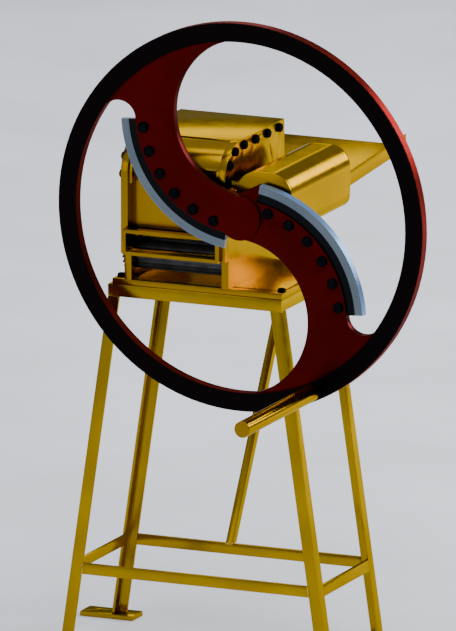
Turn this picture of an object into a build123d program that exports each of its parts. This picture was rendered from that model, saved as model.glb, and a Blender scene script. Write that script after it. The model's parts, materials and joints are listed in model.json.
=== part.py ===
from build123d import *

import os
from math import acos, atan2, cos, degrees, hypot, pi, radians, sin, tan

# Hand-operated chaff cutter on a steel stand, as an assembly of separate parts.
# Millimetres, +Z up. The origin lies on the floor, at the middle of the four foot plates. The flywheel turns
# about an axis along Y. Its front face looks along -Y, and fodder is fed along -Y from the tray at the rear.

# --- Stand -------------------------------------------------------------------------------------------------
STAND_HEIGHT = 912.0  # floor to the top of the top frame
STAND_WIDTH = 455.0  # outside of the top frame along X
STAND_DEPTH = 335.0  # outside of the top frame along Y
ANGLE_LEG = 30.0  # flange of the angle steel
ANGLE_WALL = 7.0
LEG_SPLAY = 8.3  # degrees, sideways only
RAIL_HEIGHT = 28.0  # flat bars between the legs
RAIL_WALL = 8.0
RAIL_MIDDLE_Z = 199.0
FOOT_LENGTH, FOOT_WIDTH, FOOT_THICKNESS = 140.0, 62.0, 12.0
FOOT_OUTBOARD = 81.0  # foot plate outside the leg, along X
FOOT_TOE = 8.0  # foot plate past the leg's inner flange edge, along Y
ANCHOR_HOLE_D = 14.0
STRUT_SIZE = 20.0  # square bar under the feed tray
STRUT_TOP_Y = 651.0

# --- Head --------------------------------------------------------------------------------------------------
BASE_THICKNESS = 14.0
BASE_LEFT_MARGIN = 32.0  # base plate beyond the left side plate
BASE_DEPTH = 337.0
BASE_SETBACK = 3.5  # base plate's front edge behind the stand's
HEAD_MIDDLE_X = -48.5
HEAD_INSIDE = 237.0  # between the side plates
SIDE_PLATE = 18.0
HEAD_OVERHANG = 21.5  # side plates' front ahead of the base plate
HEAD_HEIGHT = 352.0  # base plate's top to the cover's top
HEAD_CORNER_R = 90.5  # rounded front top corner of the side plates
COVER_SHEET = 4.0
COVER_RECESS = 2.5  # curved part of the cover below the side plates' edges
COVER_LIP_ANGLE = 19.0  # the cover's lower front edge, above the corner's centre
COVER_FLAT_LEAD = 8.0  # the flat top starts this far ahead of the corner's centre
INLET_LIFT = 202.0  # base plate's top to the rear panel's lower edge
FLANGE_WALL = 8.0
FLANGE_BAND = 19.5
APRON_SETBACK = 1.5  # apron's face behind the flanges' inner edges
COVER_BOLT_D, COVER_BOLT_AF, COVER_BOLT_HEAD = 12.0, 19.0, 8.0
COVER_BOLT_INSET = 15.5
COVER_BOLT_ANGLES = (0.0, 33.0, 66.0)  # on the rounded corner, from the horizontal
COVER_BOLT_PITCH = 70.6  # along the flat top
COVER_BOLT_COUNT_TOP = 4
COVER_BOLT_FROM_REAR = 33.3  # last bolt ahead of the plates' rear edge
BASE_BOLT_D, BASE_BOLT_AF, BASE_BOLT_HEAD = 10.0, 17.0, 7.0
BASE_BOLT_FROM_END = 9.5
BASE_BOLT_SETBACK = 22.0  # front bolts behind the middle of the frame's flange
BASE_BOLT_SHORT = 0.5  # bolt ends inside the plate
SHEET_GAP = 0.3

# --- Mouth and throat --------------------------------------------------------------------------------------
MOUTH_SIDE_GAP = 1.5  # mouth opening inside each side plate
MOUTH_HEIGHT = 45.0
MOUTH_BAR = 9.0
MOUTH_DEPTH = 16.0
THROAT_SHEET = 6.0
THROAT_GAP = 5.0  # between the rollers and the plates before and behind them
MOUTH_LIFT = 100.5  # base plate's top to the mouth's middle

# --- Rollers and their gears -------------------------------------------------------------------------------
ROLLER_SETBACK = 86.5  # rollers' axes behind the head's front
ROLLER_R = 40.0
ROLLER_GAP = 8.0
ROLLER_FLUTES = 8
FLUTE_R = 7.0
ROLLER_END_GAP = 2.0
CROSS_SHAFT_D = 20.0
BUSH_WALL = 5.0
RUNNING_GAP = 0.05  # radial
BLIND_BORE_WALL = 5.0  # steel left outside the rollers' blind bores
GEAR_MODULE = 4.0
ROLLER_TEETH = 22
PINION_TEETH = 26
GEAR_WIDTH = 12.0
GEAR_STANDOFF = 2.0
SHAFT_STUB = 4.0  # roller and cross shafts past their gears
SHAFT_END_GAP = 1.0  # roller shafts short of the blind bores' ends

# --- Worm drive --------------------------------------------------------------------------------------------
WORM_MODULE = 2.5
WORM_WHEEL_TEETH = 24
WORM_PITCH_R = 16.0
WORM_LENGTH = 44.0
WORM_TURNS = 4
WORM_ROOT_SINK = 0.6  # thread's foot inside the worm's core
WORM_TOOTH = 3.0  # tooth and thread thickness on the pitch line
WORM_WHEEL_WIDTH = 16.0
WORM_WHEEL_BOSS_WALL = 6.0
WORM_WHEEL_BOSS_GAP = 4.0  # from the case's wall
CROSS_SHAFT_TAIL = 10.0  # cross shaft past the worm wheel
MAIN_SHAFT_TAIL = 8.0  # main shaft past the case
PRESSURE_ANGLE = 20.0

# --- Gear case ---------------------------------------------------------------------------------------------
CASE_LEFT, CASE_RIGHT = -27.5, 115.5  # from the main shaft's axis, along X
CASE_BELOW, CASE_ABOVE = 47.0, 106.3
CASE_TOP_R, CASE_BOTTOM_R = 53.5, 33.0
CASE_WALL = 4.0
CASE_END_WALL = 10.0
CASE_LENGTH = 357.5
BRACKET_LENGTH, BRACKET_HEIGHT = 30.0, 55.0
BRACKET_LIFT = 17.5  # main shaft's axis to the brackets' middles
BRACKET_FRONT_LEAD = 31.0  # front bracket ahead of the rollers' axes
BRACKET_REAR_INSET = 58.0  # rear bracket ahead of the plates' rear edge
CASE_BUSH_REACH = 12.0  # shaft bushes past the inside of the end walls
CASE_SHAFT_HOLE_GAP = 2.0  # round the cross shaft, radial
BRACKET_BOLT_D, BRACKET_BOLT_AF, BRACKET_BOLT_HEAD = 8.0, 13.0, 5.5
BRACKET_BOLT_PITCH = 25.0
CASE_SCREW_D, CASE_SCREW_HEAD_D, CASE_SCREW_HEAD = 5.0, 9.0, 3.5

# --- Flywheel ----------------------------------------------------------------------------------------------
SHAFT_OFFSET = 58.0  # main shaft's axis outside the right side plate
SHAFT_LIFT = 194.0  # base plate's top to the main shaft's axis
RIM_R = 475.0
RIM_RADIAL = 45.8
RIM_WIDTH = 30.0
ARM_SETBACK = 6.0  # arm's front face behind the rim's
ARM_THICKNESS = 21.0
HUB_R = 54.3
HUB_PROUD = 12.0  # hub's front face ahead of the arm's
HUB_LENGTH = 47.0
HUB_BLIND_WALL = 10.0
SHAFT_D = 30.0
SHAFT_TAIL_D = 20.0
ARM_OUTER_X, ARM_OUTER_Z, ARM_OUTER_R = 4.0, 235.3, 279.3  # edge arc, from the wheel's centre
ARM_INNER_X, ARM_INNER_Z, ARM_INNER_R = 16.3, 243.9, 191.2
NOTCH_R = 43.9  # fillet between the arm's outer edge and the rim
NOTCH_TRIM = 14.0  # degrees of the fillet left off at the rim, where it would thin out to nothing
KEY_WIDTH, KEY_LENGTH = 8.0, 26.0
SET_SCREW_D, SET_SCREW_LENGTH = 10.0, 30.0
SET_SCREW_INSET = 4.0  # screw hole ahead of the hub's back face
SET_SCREW_SOCKET = 6.0
EDGE_FILLET = 2.0

# --- Blades ------------------------------------------------------------------------------------------------
BLADE_GAP = 1.5  # between the blades and the mouth
BLADE_FRONT = 12.0  # from the wheel's front face
BLADE_BACK = 28.0
BLADE_FACE_R = 319.5
BLADE_EDGE_R = 322.5
TONGUE_R = 250.0
TONGUE_FRONT = 18.0
BLADE_START, BLADE_END = 183.85, 260.8  # degrees, about the arm's outer arc
BLADE_BOLT_R = 261.3
BLADE_BOLT_FIRST, BLADE_BOLT_STEP, BLADE_BOLTS = 188.1, 13.04, 6
BLADE_BOLT_D, BLADE_BOLT_AF, BLADE_BOLT_HEAD = 14.0, 22.0, 9.0
BOLT_GAP = 0.15  # radial
BLADE_SEAT_GAP = 0.2  # round the blades' tongues
BLADE_SEAT_TURN = 0.1  # degrees, at the tongues' ends
BLADE_SEAT_CUT = 60.0  # the seat's cut runs this far past the arm's edge
BLADE_HUB_GAP = 0.5

# --- Handle ------------------------------------------------------------------------------------------------
HANDLE_ANGLE = -64.9
HANDLE_REACH = 427.0  # ahead of the rim's front face
GRIP_D, GRIP_WALL = 40.0, 3.0
SPINDLE_D = 16.0
COLLAR_THICKNESS, COLLAR_D = 6.0, 34.0
GRIP_BUSH_LENGTH = 25.0
CAP_THICKNESS = 4.0
GRIP_END_GAP = 1.0  # between the grip and the collar
GRIP_BUSH_INSET = 4.0  # front bush behind the spindle's front end
SPINDLE_SHORT = 6.0  # spindle's front end behind the end cap
SPINDLE_PROUD = 3.0  # spindle past the nut
NUT_AF, NUT_HEIGHT = 24.0, 13.0

# --- Feed tray ---------------------------------------------------------------------------------------------
TRAY_LENGTH = 615.0  # along Y
TRAY_RISE = 82.0
TRAY_END_WIDTH = 390.0
TRAY_WALL_HEIGHT = 36.5
TRAY_SHEET = 3.0
TRAY_FLOOR_UP = 3.0  # floor's underside above the walls' lower edge
TRAY_FLOOR = 6.0
TRAY_LIFT = 76.5  # base plate's top to the walls' lower edge at the head

# --- Worked out from the sizes above -----------------------------------------------------------------------
SPLAY = tan(radians(LEG_SPLAY))
LEG_TOP_Z = STAND_HEIGHT - ANGLE_LEG
BASE_TOP_Z = STAND_HEIGHT + BASE_THICKNESS
BASE_FRONT_Y = -STAND_DEPTH / 2 + BASE_SETBACK
HEAD_FRONT_Y = BASE_FRONT_Y - HEAD_OVERHANG
HEAD_REAR_Y = BASE_FRONT_Y + BASE_DEPTH
HEAD_TOP_Z = BASE_TOP_Z + HEAD_HEIGHT
MOUTH_MIDDLE_Z = BASE_TOP_Z + MOUTH_LIFT
MOUTH_WIDTH = HEAD_INSIDE - 2 * MOUTH_SIDE_GAP
ROLLER_Y = HEAD_FRONT_Y + ROLLER_SETBACK
TRAY_START_Z = BASE_TOP_Z + TRAY_LIFT
PLATE_LEFT_X = HEAD_MIDDLE_X - HEAD_INSIDE / 2 - SIDE_PLATE
PLATE_RIGHT_X = HEAD_MIDDLE_X + HEAD_INSIDE / 2
HEAD_OUTER_RIGHT_X = PLATE_RIGHT_X + SIDE_PLATE
SHAFT_X = HEAD_OUTER_RIGHT_X + SHAFT_OFFSET
SHAFT_Z = BASE_TOP_Z + SHAFT_LIFT
WHEEL_FRONT_Y = HEAD_FRONT_Y - MOUTH_DEPTH - BLADE_GAP - BLADE_BACK
BASE_LEFT_X = PLATE_LEFT_X - BASE_LEFT_MARGIN
CORNER_Y = HEAD_FRONT_Y + HEAD_CORNER_R
CORNER_Z = HEAD_TOP_Z - HEAD_CORNER_R
PLATE_TOP_Z = HEAD_TOP_Z - COVER_SHEET
COVER_FLAT_Y = CORNER_Y - COVER_FLAT_LEAD
MOUTH_BOTTOM_Z = MOUTH_MIDDLE_Z - MOUTH_HEIGHT / 2 - MOUTH_BAR
MOUTH_TOP_Z = MOUTH_MIDDLE_Z + MOUTH_HEIGHT / 2 + MOUTH_BAR
UPPER_Z = MOUTH_MIDDLE_Z + ROLLER_GAP / 2 + ROLLER_R
LOWER_Z = MOUTH_MIDDLE_Z - ROLLER_GAP / 2 - ROLLER_R
WORM_WHEEL_R = WORM_MODULE * WORM_WHEEL_TEETH / 2
CROSS_Z = SHAFT_Z + WORM_PITCH_R + WORM_WHEEL_R
CROSS_Y = ROLLER_Y
WHEEL_INNER_R = RIM_R - RIM_RADIAL
ARM_FRONT_Y = WHEEL_FRONT_Y + ARM_SETBACK
ARM_BACK_Y = ARM_FRONT_Y + ARM_THICKNESS
HUB_FRONT_Y = ARM_FRONT_Y - HUB_PROUD
HUB_BACK_Y = HUB_FRONT_Y + HUB_LENGTH
CASE_FRONT_Y = HEAD_FRONT_Y
CASE_BACK_Y = CASE_FRONT_Y + CASE_LENGTH
WORM_FRONT_Y = CROSS_Y - WORM_LENGTH / 2
HANDLE_R = RIM_R - RIM_RADIAL / 2
HANDLE_X = SHAFT_X + HANDLE_R * cos(radians(HANDLE_ANGLE))
HANDLE_Z = SHAFT_Z + HANDLE_R * sin(radians(HANDLE_ANGLE))
BUSH_D = CROSS_SHAFT_D + 2 * BUSH_WALL
SHAFT_BUSH_D = SHAFT_D + 2 * BUSH_WALL
TRAY_SLOPE = TRAY_RISE / TRAY_LENGTH

os.makedirs("parts", exist_ok=True)


# --- Helpers -----------------------------------------------------------------------------------------------
# A cut runs 1 mm past each face that it opens.
def save(name, *solids):
    """Write one named part, as one or more separate solids."""
    pieces = [piece for solid in solids for piece in solid.solids()]
    shape = pieces[0] if len(pieces) == 1 else Compound(children=pieces)
    export_step(shape, os.path.join("parts", name + ".step"))


def block(x0, x1, y0, y1, z0, z1):
    """A box between two opposite corners."""
    return Pos((x0 + x1) / 2, (y0 + y1) / 2, (z0 + z1) / 2) * Box(x1 - x0, y1 - y0, z1 - z0)


def along_x(face, x0, x1):
    """Extrude an outline drawn in (Y, Z) from x0 to x1."""
    return extrude(Plane((x0, 0, 0), x_dir=(0, 1, 0), z_dir=(1, 0, 0)) * face, amount=x1 - x0)


def along_y(face, y0, y1):
    """Extrude an outline drawn in (X, Z) from y0 to y1."""
    return extrude(Plane((0, y1, 0), x_dir=(1, 0, 0), z_dir=(0, -1, 0)) * face, amount=y1 - y0)


def outline(*points):
    """A closed polygon as a face."""
    return make_face(Polyline(*points, close=True))


def disc(a, b, radius):
    """A round face at (a, b) in its plane."""
    return Pos(a, b) * Circle(radius)


def rod_x(y, z, diameter, x0, x1):
    """A round bar along X."""
    return along_x(disc(y, z, diameter / 2), x0, x1)


def rod_y(x, z, diameter, y0, y1):
    """A round bar along Y."""
    return along_y(disc(x, z, diameter / 2), y0, y1)


def hexagon(a, b, across_flats):
    """A hexagon of the given width across flats."""
    return Pos(a, b) * RegularPolygon(across_flats / 2, 6, major_radius=False)


def sector(radius_out, radius_in, start, end):
    """A flat ring sector about the origin, in degrees."""
    far = radius_out * 3
    middle = (start + end) / 2
    rays = [(far * cos(radians(a)), far * sin(radians(a))) for a in (start, middle, end)]
    return (Circle(radius_out) - Circle(radius_in)) & outline((0, 0), *rays)


def mirrored(part, middle_x):
    """The part's mirror image across a plane at middle_x."""
    return mirror(part, about=Plane((middle_x, 0, 0), z_dir=(1, 0, 0)))


def spur_gear_outline(module, teeth, phase, backlash=0.5, pressure=PRESSURE_ANGLE):
    """Involute teeth, with one tooth's middle at the phase angle, in degrees."""
    pitch_r = module * teeth / 2
    base_r = pitch_r * cos(radians(pressure))
    root_r, tip_r = pitch_r - 1.25 * module, pitch_r + module
    start_r = max(base_r, root_r)
    half_pitch = (pi * module / 2 - backlash) / 2 / pitch_r

    def involute(radius):
        """The involute function of the flank's pressure angle at a radius."""
        angle = acos(base_r / radius)
        return tan(angle) - angle

    flank = []
    for step in range(5):
        radius = start_r + (tip_r - start_r) * step / 4
        flank.append((radius, half_pitch + involute(pitch_r) - involute(radius)))
    points = []
    for tooth in range(teeth):
        middle = radians(phase) + 2 * pi * tooth / teeth
        side = [(root_r, flank[0][1])] + flank if start_r > root_r + 0.01 else flank
        for radius, half in side:
            points.append((radius * cos(middle - half), radius * sin(middle - half)))
        for radius, half in reversed(side):
            points.append((radius * cos(middle + half), radius * sin(middle + half)))
    return outline(*points)


def rack_tooth_wheel(phase):
    """The worm wheel's outline: straight-flanked teeth, with one tooth at the phase angle."""
    root_r, tip_r = WORM_WHEEL_R - 1.25 * WORM_MODULE, WORM_WHEEL_R + WORM_MODULE
    flank = tan(radians(PRESSURE_ANGLE))
    points = []
    for tooth in range(WORM_WHEEL_TEETH):
        middle = radians(phase) + 2 * pi * tooth / WORM_WHEEL_TEETH
        for radius, sign in ((root_r, -1), (tip_r, -1), (tip_r, 1), (root_r, 1)):
            half = (WORM_TOOTH / 2 - (radius - WORM_WHEEL_R) * flank) / radius
            points.append((radius * cos(middle + sign * half), radius * sin(middle + sign * half)))
    return outline(*points)


# --- Stand -------------------------------------------------------------------------------------------------
def leg_outer_x(z):
    """The outer face of a leg at a height."""
    return STAND_WIDTH / 2 + SPLAY * (LEG_TOP_Z - z)


def build_stand():
    """Four splayed angle legs, the top frame, the rails, the foot plates and the strut."""
    half_w, half_d = STAND_WIDTH / 2, STAND_DEPTH / 2
    low = FOOT_THICKNESS
    drop = LEG_TOP_Z - low
    feet = []
    for side, sx in (("left", -1), ("right", 1)):
        for end, sy in (("front", -1), ("rear", 1)):
            x, y = sx * half_w, sy * half_d
            section = outline(
                (x, y), (x - sx * ANGLE_LEG, y), (x - sx * ANGLE_LEG, y - sy * ANGLE_WALL),
                (x - sx * ANGLE_WALL, y - sy * ANGLE_WALL), (x - sx * ANGLE_WALL, y - sy * ANGLE_LEG),
                (x, y - sy * ANGLE_LEG),
            )
            length = drop * hypot(1, SPLAY)
            leg = extrude(Pos(0, 0, LEG_TOP_Z) * section, amount=length, dir=(sx * SPLAY, 0, -1))
            save(f"leg_{end}_{side}", leg)

            foot_far = sx * (leg_outer_x(low) + FOOT_OUTBOARD)
            foot_near = foot_far - sx * FOOT_LENGTH
            toe = y - sy * (ANGLE_LEG + FOOT_TOE)
            heel = toe + sy * FOOT_WIDTH
            foot = block(min(foot_far, foot_near), max(foot_far, foot_near), min(toe, heel), max(toe, heel),
                         0, FOOT_THICKNESS)
            anchor = Pos(foot_far - sx * FOOT_OUTBOARD / 2, (toe + heel) / 2, FOOT_THICKNESS / 2)
            foot -= anchor * Cylinder(ANCHOR_HOLE_D / 2, FOOT_THICKNESS * 2)
            feet.append(foot)
    save("foot_plates", *feet)

    ring = block(-half_w, half_w, -half_d, half_d, LEG_TOP_Z, STAND_HEIGHT)
    inner_w, inner_d = half_w - ANGLE_WALL, half_d - ANGLE_WALL
    ring -= block(-inner_w, inner_w, -inner_d, inner_d, LEG_TOP_Z, STAND_HEIGHT - ANGLE_WALL)
    inner_w, inner_d = half_w - ANGLE_LEG, half_d - ANGLE_LEG
    ring -= block(-inner_w, inner_w, -inner_d, inner_d, LEG_TOP_Z, STAND_HEIGHT)
    save("top_frame", ring)

    z0, z1 = RAIL_MIDDLE_Z - RAIL_HEIGHT / 2, RAIL_MIDDLE_Z + RAIL_HEIGHT / 2
    low_x, high_x = leg_outer_x(z0), leg_outer_x(z1)
    cross = outline((-low_x + ANGLE_LEG, z0), (low_x - ANGLE_LEG, z0),
                    (high_x - ANGLE_LEG, z1), (-high_x + ANGLE_LEG, z1))
    save("rail_front", along_y(cross, -half_d, -half_d + RAIL_WALL))
    save("rail_rear", along_y(cross, half_d - RAIL_WALL, half_d))
    inside_y = half_d - ANGLE_LEG
    side_rails = []
    for sx in (-1, 1):
        band = outline((sx * low_x, z0), (sx * high_x, z1), (sx * (high_x - RAIL_WALL), z1),
                       (sx * (low_x - RAIL_WALL), z0))
        side_rails.append(along_y(band, -inside_y, inside_y))
    save("side_rails", *side_rails)

    foot_z = z1
    top_z = tray_edge_z(STRUT_TOP_Y) + TRAY_FLOOR_UP
    foot_y = half_d - RAIL_WALL / 2
    lean = atan2(STRUT_TOP_Y - foot_y, top_z - foot_z)
    half = STRUT_SIZE / 2 / cos(lean)
    reach = half * TRAY_SLOPE / (1 - TRAY_SLOPE * tan(lean))
    lift_front = -half * TRAY_SLOPE / (1 - TRAY_SLOPE * tan(lean))
    side_view = outline(
        (foot_y - half, foot_z), (foot_y + half, foot_z),
        (STRUT_TOP_Y + half + reach * tan(lean), top_z + reach),
        (STRUT_TOP_Y - half + lift_front * tan(lean), top_z + lift_front),
    )
    save("tray_strut", along_x(side_view, HEAD_MIDDLE_X - STRUT_SIZE / 2, HEAD_MIDDLE_X + STRUT_SIZE / 2))


# --- Head --------------------------------------------------------------------------------------------------
def cover_bolt_places():
    """The cover bolts' places in (Y, Z), the same on both sides."""
    radius = HEAD_CORNER_R - COVER_BOLT_INSET
    places = [(CORNER_Y - radius * cos(radians(a)), CORNER_Z + radius * sin(radians(a)))
              for a in COVER_BOLT_ANGLES]
    last_y = HEAD_REAR_Y - COVER_BOLT_FROM_REAR
    for number in range(COVER_BOLT_COUNT_TOP):
        places.append((last_y - number * COVER_BOLT_PITCH, CORNER_Z + radius))
    return places


def side_plate_outline():
    """A side plate in (Y, Z), with its rounded corner, and stepped for the cover and the mouth."""
    step_z = CORNER_Z + (HEAD_CORNER_R ** 2 - (CORNER_Y - COVER_FLAT_Y) ** 2) ** 0.5
    arc_mid = 180.0 - degrees(acos((CORNER_Y - COVER_FLAT_Y) / HEAD_CORNER_R)) / 2
    middle_y = CORNER_Y + HEAD_CORNER_R * cos(radians(arc_mid))
    middle = (middle_y, CORNER_Z + HEAD_CORNER_R * sin(radians(arc_mid)))
    front = ThreePointArc((HEAD_FRONT_Y, CORNER_Z), middle, (COVER_FLAT_Y, step_z))
    rest = Polyline(
        (COVER_FLAT_Y, step_z), (COVER_FLAT_Y, PLATE_TOP_Z), (HEAD_REAR_Y, PLATE_TOP_Z),
        (HEAD_REAR_Y, BASE_TOP_Z), (BASE_FRONT_Y, BASE_TOP_Z), (BASE_FRONT_Y, MOUTH_BOTTOM_Z),
        (HEAD_FRONT_Y, MOUTH_BOTTOM_Z), (HEAD_FRONT_Y, CORNER_Z),
    )
    return make_face([front, rest])


def corner_ring(radius_out, radius_in, start, end):
    """Part of a ring about the head's rounded corner, in (Y, Z). Angles are from -Y, rising."""
    return Pos(CORNER_Y, CORNER_Z) * sector(radius_out, radius_in, 180.0 - end, 180.0 - start)


def build_head():
    """The base plate, the side plates, the cover, the apron, the mouth and the throat."""
    base_right = STAND_WIDTH / 2
    base = block(BASE_LEFT_X, base_right, BASE_FRONT_Y, HEAD_REAR_Y, STAND_HEIGHT, BASE_TOP_Z)
    bolt_left = BASE_LEFT_X + BASE_BOLT_FROM_END
    bolt_right = base_right - ANGLE_LEG / 2
    front_y, rear_y = -STAND_DEPTH / 2 + ANGLE_LEG / 2, STAND_DEPTH / 2 - ANGLE_LEG / 2
    bolts = []
    for x in (bolt_left, bolt_right):
        for y in (front_y + BASE_BOLT_SETBACK, rear_y):
            base -= Pos(x, y, STAND_HEIGHT) * Cylinder(BASE_BOLT_D / 2 + BOLT_GAP, BASE_THICKNESS * 4)
            head = extrude(Pos(x, y, BASE_TOP_Z) * hexagon(0, 0, BASE_BOLT_AF), amount=BASE_BOLT_HEAD)
            length = BASE_THICKNESS - BASE_BOLT_SHORT
            bolts.append(head + Pos(x, y, BASE_TOP_Z - length / 2) * Cylinder(BASE_BOLT_D / 2, length))
    save("base_plate", base)
    save("base_bolts", *bolts)

    plate = side_plate_outline()
    for y, z in cover_bolt_places():
        plate -= disc(y, z, COVER_BOLT_D / 2 + BOLT_GAP)
    left = along_x(plate, PLATE_LEFT_X, PLATE_LEFT_X + SIDE_PLATE)
    right = along_x(plate, PLATE_RIGHT_X, HEAD_OUTER_RIGHT_X)
    for z in (UPPER_Z, LOWER_Z):
        left -= rod_x(ROLLER_Y, z, BUSH_D, PLATE_LEFT_X - 1, PLATE_LEFT_X + SIDE_PLATE + 1)
        right -= rod_x(ROLLER_Y, z, BUSH_D, PLATE_RIGHT_X - 1, HEAD_OUTER_RIGHT_X - BLIND_BORE_WALL)
    left -= rod_x(CROSS_Y, CROSS_Z, BUSH_D, PLATE_LEFT_X - 1, PLATE_LEFT_X + SIDE_PLATE + 1)
    right -= rod_x(CROSS_Y, CROSS_Z, BUSH_D, PLATE_RIGHT_X - 1, HEAD_OUTER_RIGHT_X + 1)
    for y, z in bracket_bolt_places():
        right -= rod_x(y, z, BRACKET_BOLT_D + 2 * BOLT_GAP, PLATE_RIGHT_X - 1, HEAD_OUTER_RIGHT_X + 1)
    save("side_plate_left", left)
    save("side_plate_right", right)

    inside_l, inside_r = PLATE_LEFT_X + SIDE_PLATE, PLATE_RIGHT_X
    curved_r = HEAD_CORNER_R - COVER_RECESS
    curved = corner_ring(curved_r, curved_r - COVER_SHEET, COVER_LIP_ANGLE, 90.0)
    curved += outline((CORNER_Y - COVER_SHEET, CORNER_Z + curved_r - COVER_SHEET),
                      (CORNER_Y, CORNER_Z + curved_r - COVER_SHEET), (CORNER_Y, PLATE_TOP_Z + 1),
                      (CORNER_Y - COVER_SHEET, PLATE_TOP_Z + 1))
    flat = block(PLATE_LEFT_X, HEAD_OUTER_RIGHT_X, COVER_FLAT_Y, HEAD_REAR_Y, PLATE_TOP_Z, HEAD_TOP_Z)
    save("top_cover", flat + along_x(curved, inside_l + SHEET_GAP, inside_r - SHEET_GAP))

    band_out = HEAD_CORNER_R - COVER_SHEET - COVER_RECESS - SHEET_GAP
    band_in = band_out - FLANGE_BAND
    flange = corner_ring(band_out, band_in, 0.0, 90.0)
    flange += outline((CORNER_Y, CORNER_Z + band_in), (HEAD_REAR_Y, CORNER_Z + band_in),
                      (HEAD_REAR_Y, CORNER_Z + band_out), (CORNER_Y, CORNER_Z + band_out))
    flange_low = CORNER_Z - FLANGE_BAND
    flange += outline((CORNER_Y - band_out, flange_low), (CORNER_Y - band_in, flange_low),
                      (CORNER_Y - band_in, CORNER_Z), (CORNER_Y - band_out, CORNER_Z))
    for y, z in cover_bolt_places():
        flange -= disc(y, z, COVER_BOLT_D / 2 + BOLT_GAP)
    save("cover_flange_left", along_x(flange, inside_l + SHEET_GAP, inside_l + SHEET_GAP + FLANGE_WALL))
    save("cover_flange_right", along_x(flange, inside_r - SHEET_GAP - FLANGE_WALL, inside_r - SHEET_GAP))

    reach = SIDE_PLATE + SHEET_GAP + FLANGE_WALL
    bolts = []
    for y, z in cover_bolt_places():
        head = along_x(hexagon(y, z, COVER_BOLT_AF), HEAD_OUTER_RIGHT_X, HEAD_OUTER_RIGHT_X + COVER_BOLT_HEAD)
        bolts.append(head + rod_x(y, z, COVER_BOLT_D, HEAD_OUTER_RIGHT_X - reach, HEAD_OUTER_RIGHT_X + 1))
    save("cover_bolts", *bolts, *[mirrored(bolt, HEAD_MIDDLE_X) for bolt in bolts])

    apron_r = band_in - APRON_SETBACK
    apron_y = CORNER_Y - apron_r
    apron = corner_ring(apron_r, apron_r - COVER_SHEET, 0.0, 70.0)
    apron += outline((apron_y, MOUTH_TOP_Z), (apron_y + COVER_SHEET, MOUTH_TOP_Z),
                     (apron_y + COVER_SHEET, CORNER_Z), (apron_y, CORNER_Z))
    save("front_apron", along_x(apron, inside_l + SHEET_GAP, inside_r - SHEET_GAP))

    panel_low, panel_high = BASE_TOP_Z + INLET_LIFT, CORNER_Z + band_in - SHEET_GAP
    save("rear_panel", block(inside_l + SHEET_GAP, inside_r - SHEET_GAP, HEAD_REAR_Y - COVER_SHEET,
                             HEAD_REAR_Y, panel_low, panel_high))

    frame_w = MOUTH_WIDTH + 2 * MOUTH_BAR
    mouth_front = HEAD_FRONT_Y - MOUTH_DEPTH
    mouth = block(HEAD_MIDDLE_X - frame_w / 2, HEAD_MIDDLE_X + frame_w / 2, mouth_front, HEAD_FRONT_Y,
                  MOUTH_BOTTOM_Z, MOUTH_TOP_Z)
    mouth -= block(HEAD_MIDDLE_X - MOUTH_WIDTH / 2, HEAD_MIDDLE_X + MOUTH_WIDTH / 2, mouth_front - 1,
                   HEAD_FRONT_Y + 1, MOUTH_MIDDLE_Z - MOUTH_HEIGHT / 2, MOUTH_MIDDLE_Z + MOUTH_HEIGHT / 2)
    save("mouth_frame", mouth)

    roller_front = ROLLER_Y - ROLLER_R - THROAT_GAP
    roller_rear = ROLLER_Y + ROLLER_R + THROAT_GAP
    floor_top = MOUTH_MIDDLE_Z - MOUTH_HEIGHT / 2
    roof_low = MOUTH_MIDDLE_Z + MOUTH_HEIGHT / 2
    x0, x1 = inside_l + SHEET_GAP, inside_r - SHEET_GAP
    floor = block(x0, x1, HEAD_FRONT_Y, roller_front, floor_top - THROAT_SHEET, floor_top)
    save("throat_plates", floor, block(x0, x1, HEAD_FRONT_Y, roller_front, roof_low, roof_low + THROAT_SHEET))
    tray_floor = TRAY_START_Z + TRAY_FLOOR_UP + TRAY_FLOOR
    save("inlet_floor", block(x0, x1, roller_rear, HEAD_REAR_Y, tray_floor - THROAT_SHEET, tray_floor))


# --- Feed tray ---------------------------------------------------------------------------------------------
def tray_edge_z(y):
    """The lower edge of the tray's walls at a place along Y."""
    return TRAY_START_Z + (y - HEAD_REAR_Y) * TRAY_SLOPE


def build_tray():
    """A flared tray that rises to the rear: one floor and two side walls."""
    y0, y1 = HEAD_REAR_Y, HEAD_REAR_Y + TRAY_LENGTH
    start_half = HEAD_INSIDE / 2 + SIDE_PLATE
    end_half = TRAY_END_WIDTH / 2
    inner_0, inner_1 = start_half - TRAY_SHEET, end_half - TRAY_SHEET

    def plan(x_out_0, x_out_1, x_in_0, x_in_1):
        """A strip of the tray seen from above."""
        return outline((HEAD_MIDDLE_X + x_out_0, y0), (HEAD_MIDDLE_X + x_out_1, y1),
                       (HEAD_MIDDLE_X + x_in_1, y1), (HEAD_MIDDLE_X + x_in_0, y0))

    def standing(strip, low, high):
        """The strip between two heights above the walls' lower edge, following the slope."""
        column = extrude(Pos(0, 0, TRAY_START_Z - 200) * strip, amount=600)
        side = outline((y0, tray_edge_z(y0) + low), (y1, tray_edge_z(y1) + low),
                       (y1, tray_edge_z(y1) + high), (y0, tray_edge_z(y0) + high))
        return column & along_x(side, HEAD_MIDDLE_X - end_half * 2, HEAD_MIDDLE_X + end_half * 2)

    for side, sx in (("left", -1), ("right", 1)):
        strip = plan(sx * start_half, sx * end_half, sx * inner_0, sx * inner_1)
        save(f"tray_wall_{side}", standing(strip, 0, TRAY_WALL_HEIGHT))
    floor = standing(plan(-inner_0, -inner_1, inner_0, inner_1), TRAY_FLOOR_UP, TRAY_FLOOR_UP + TRAY_FLOOR)
    save("tray_floor", floor)


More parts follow.
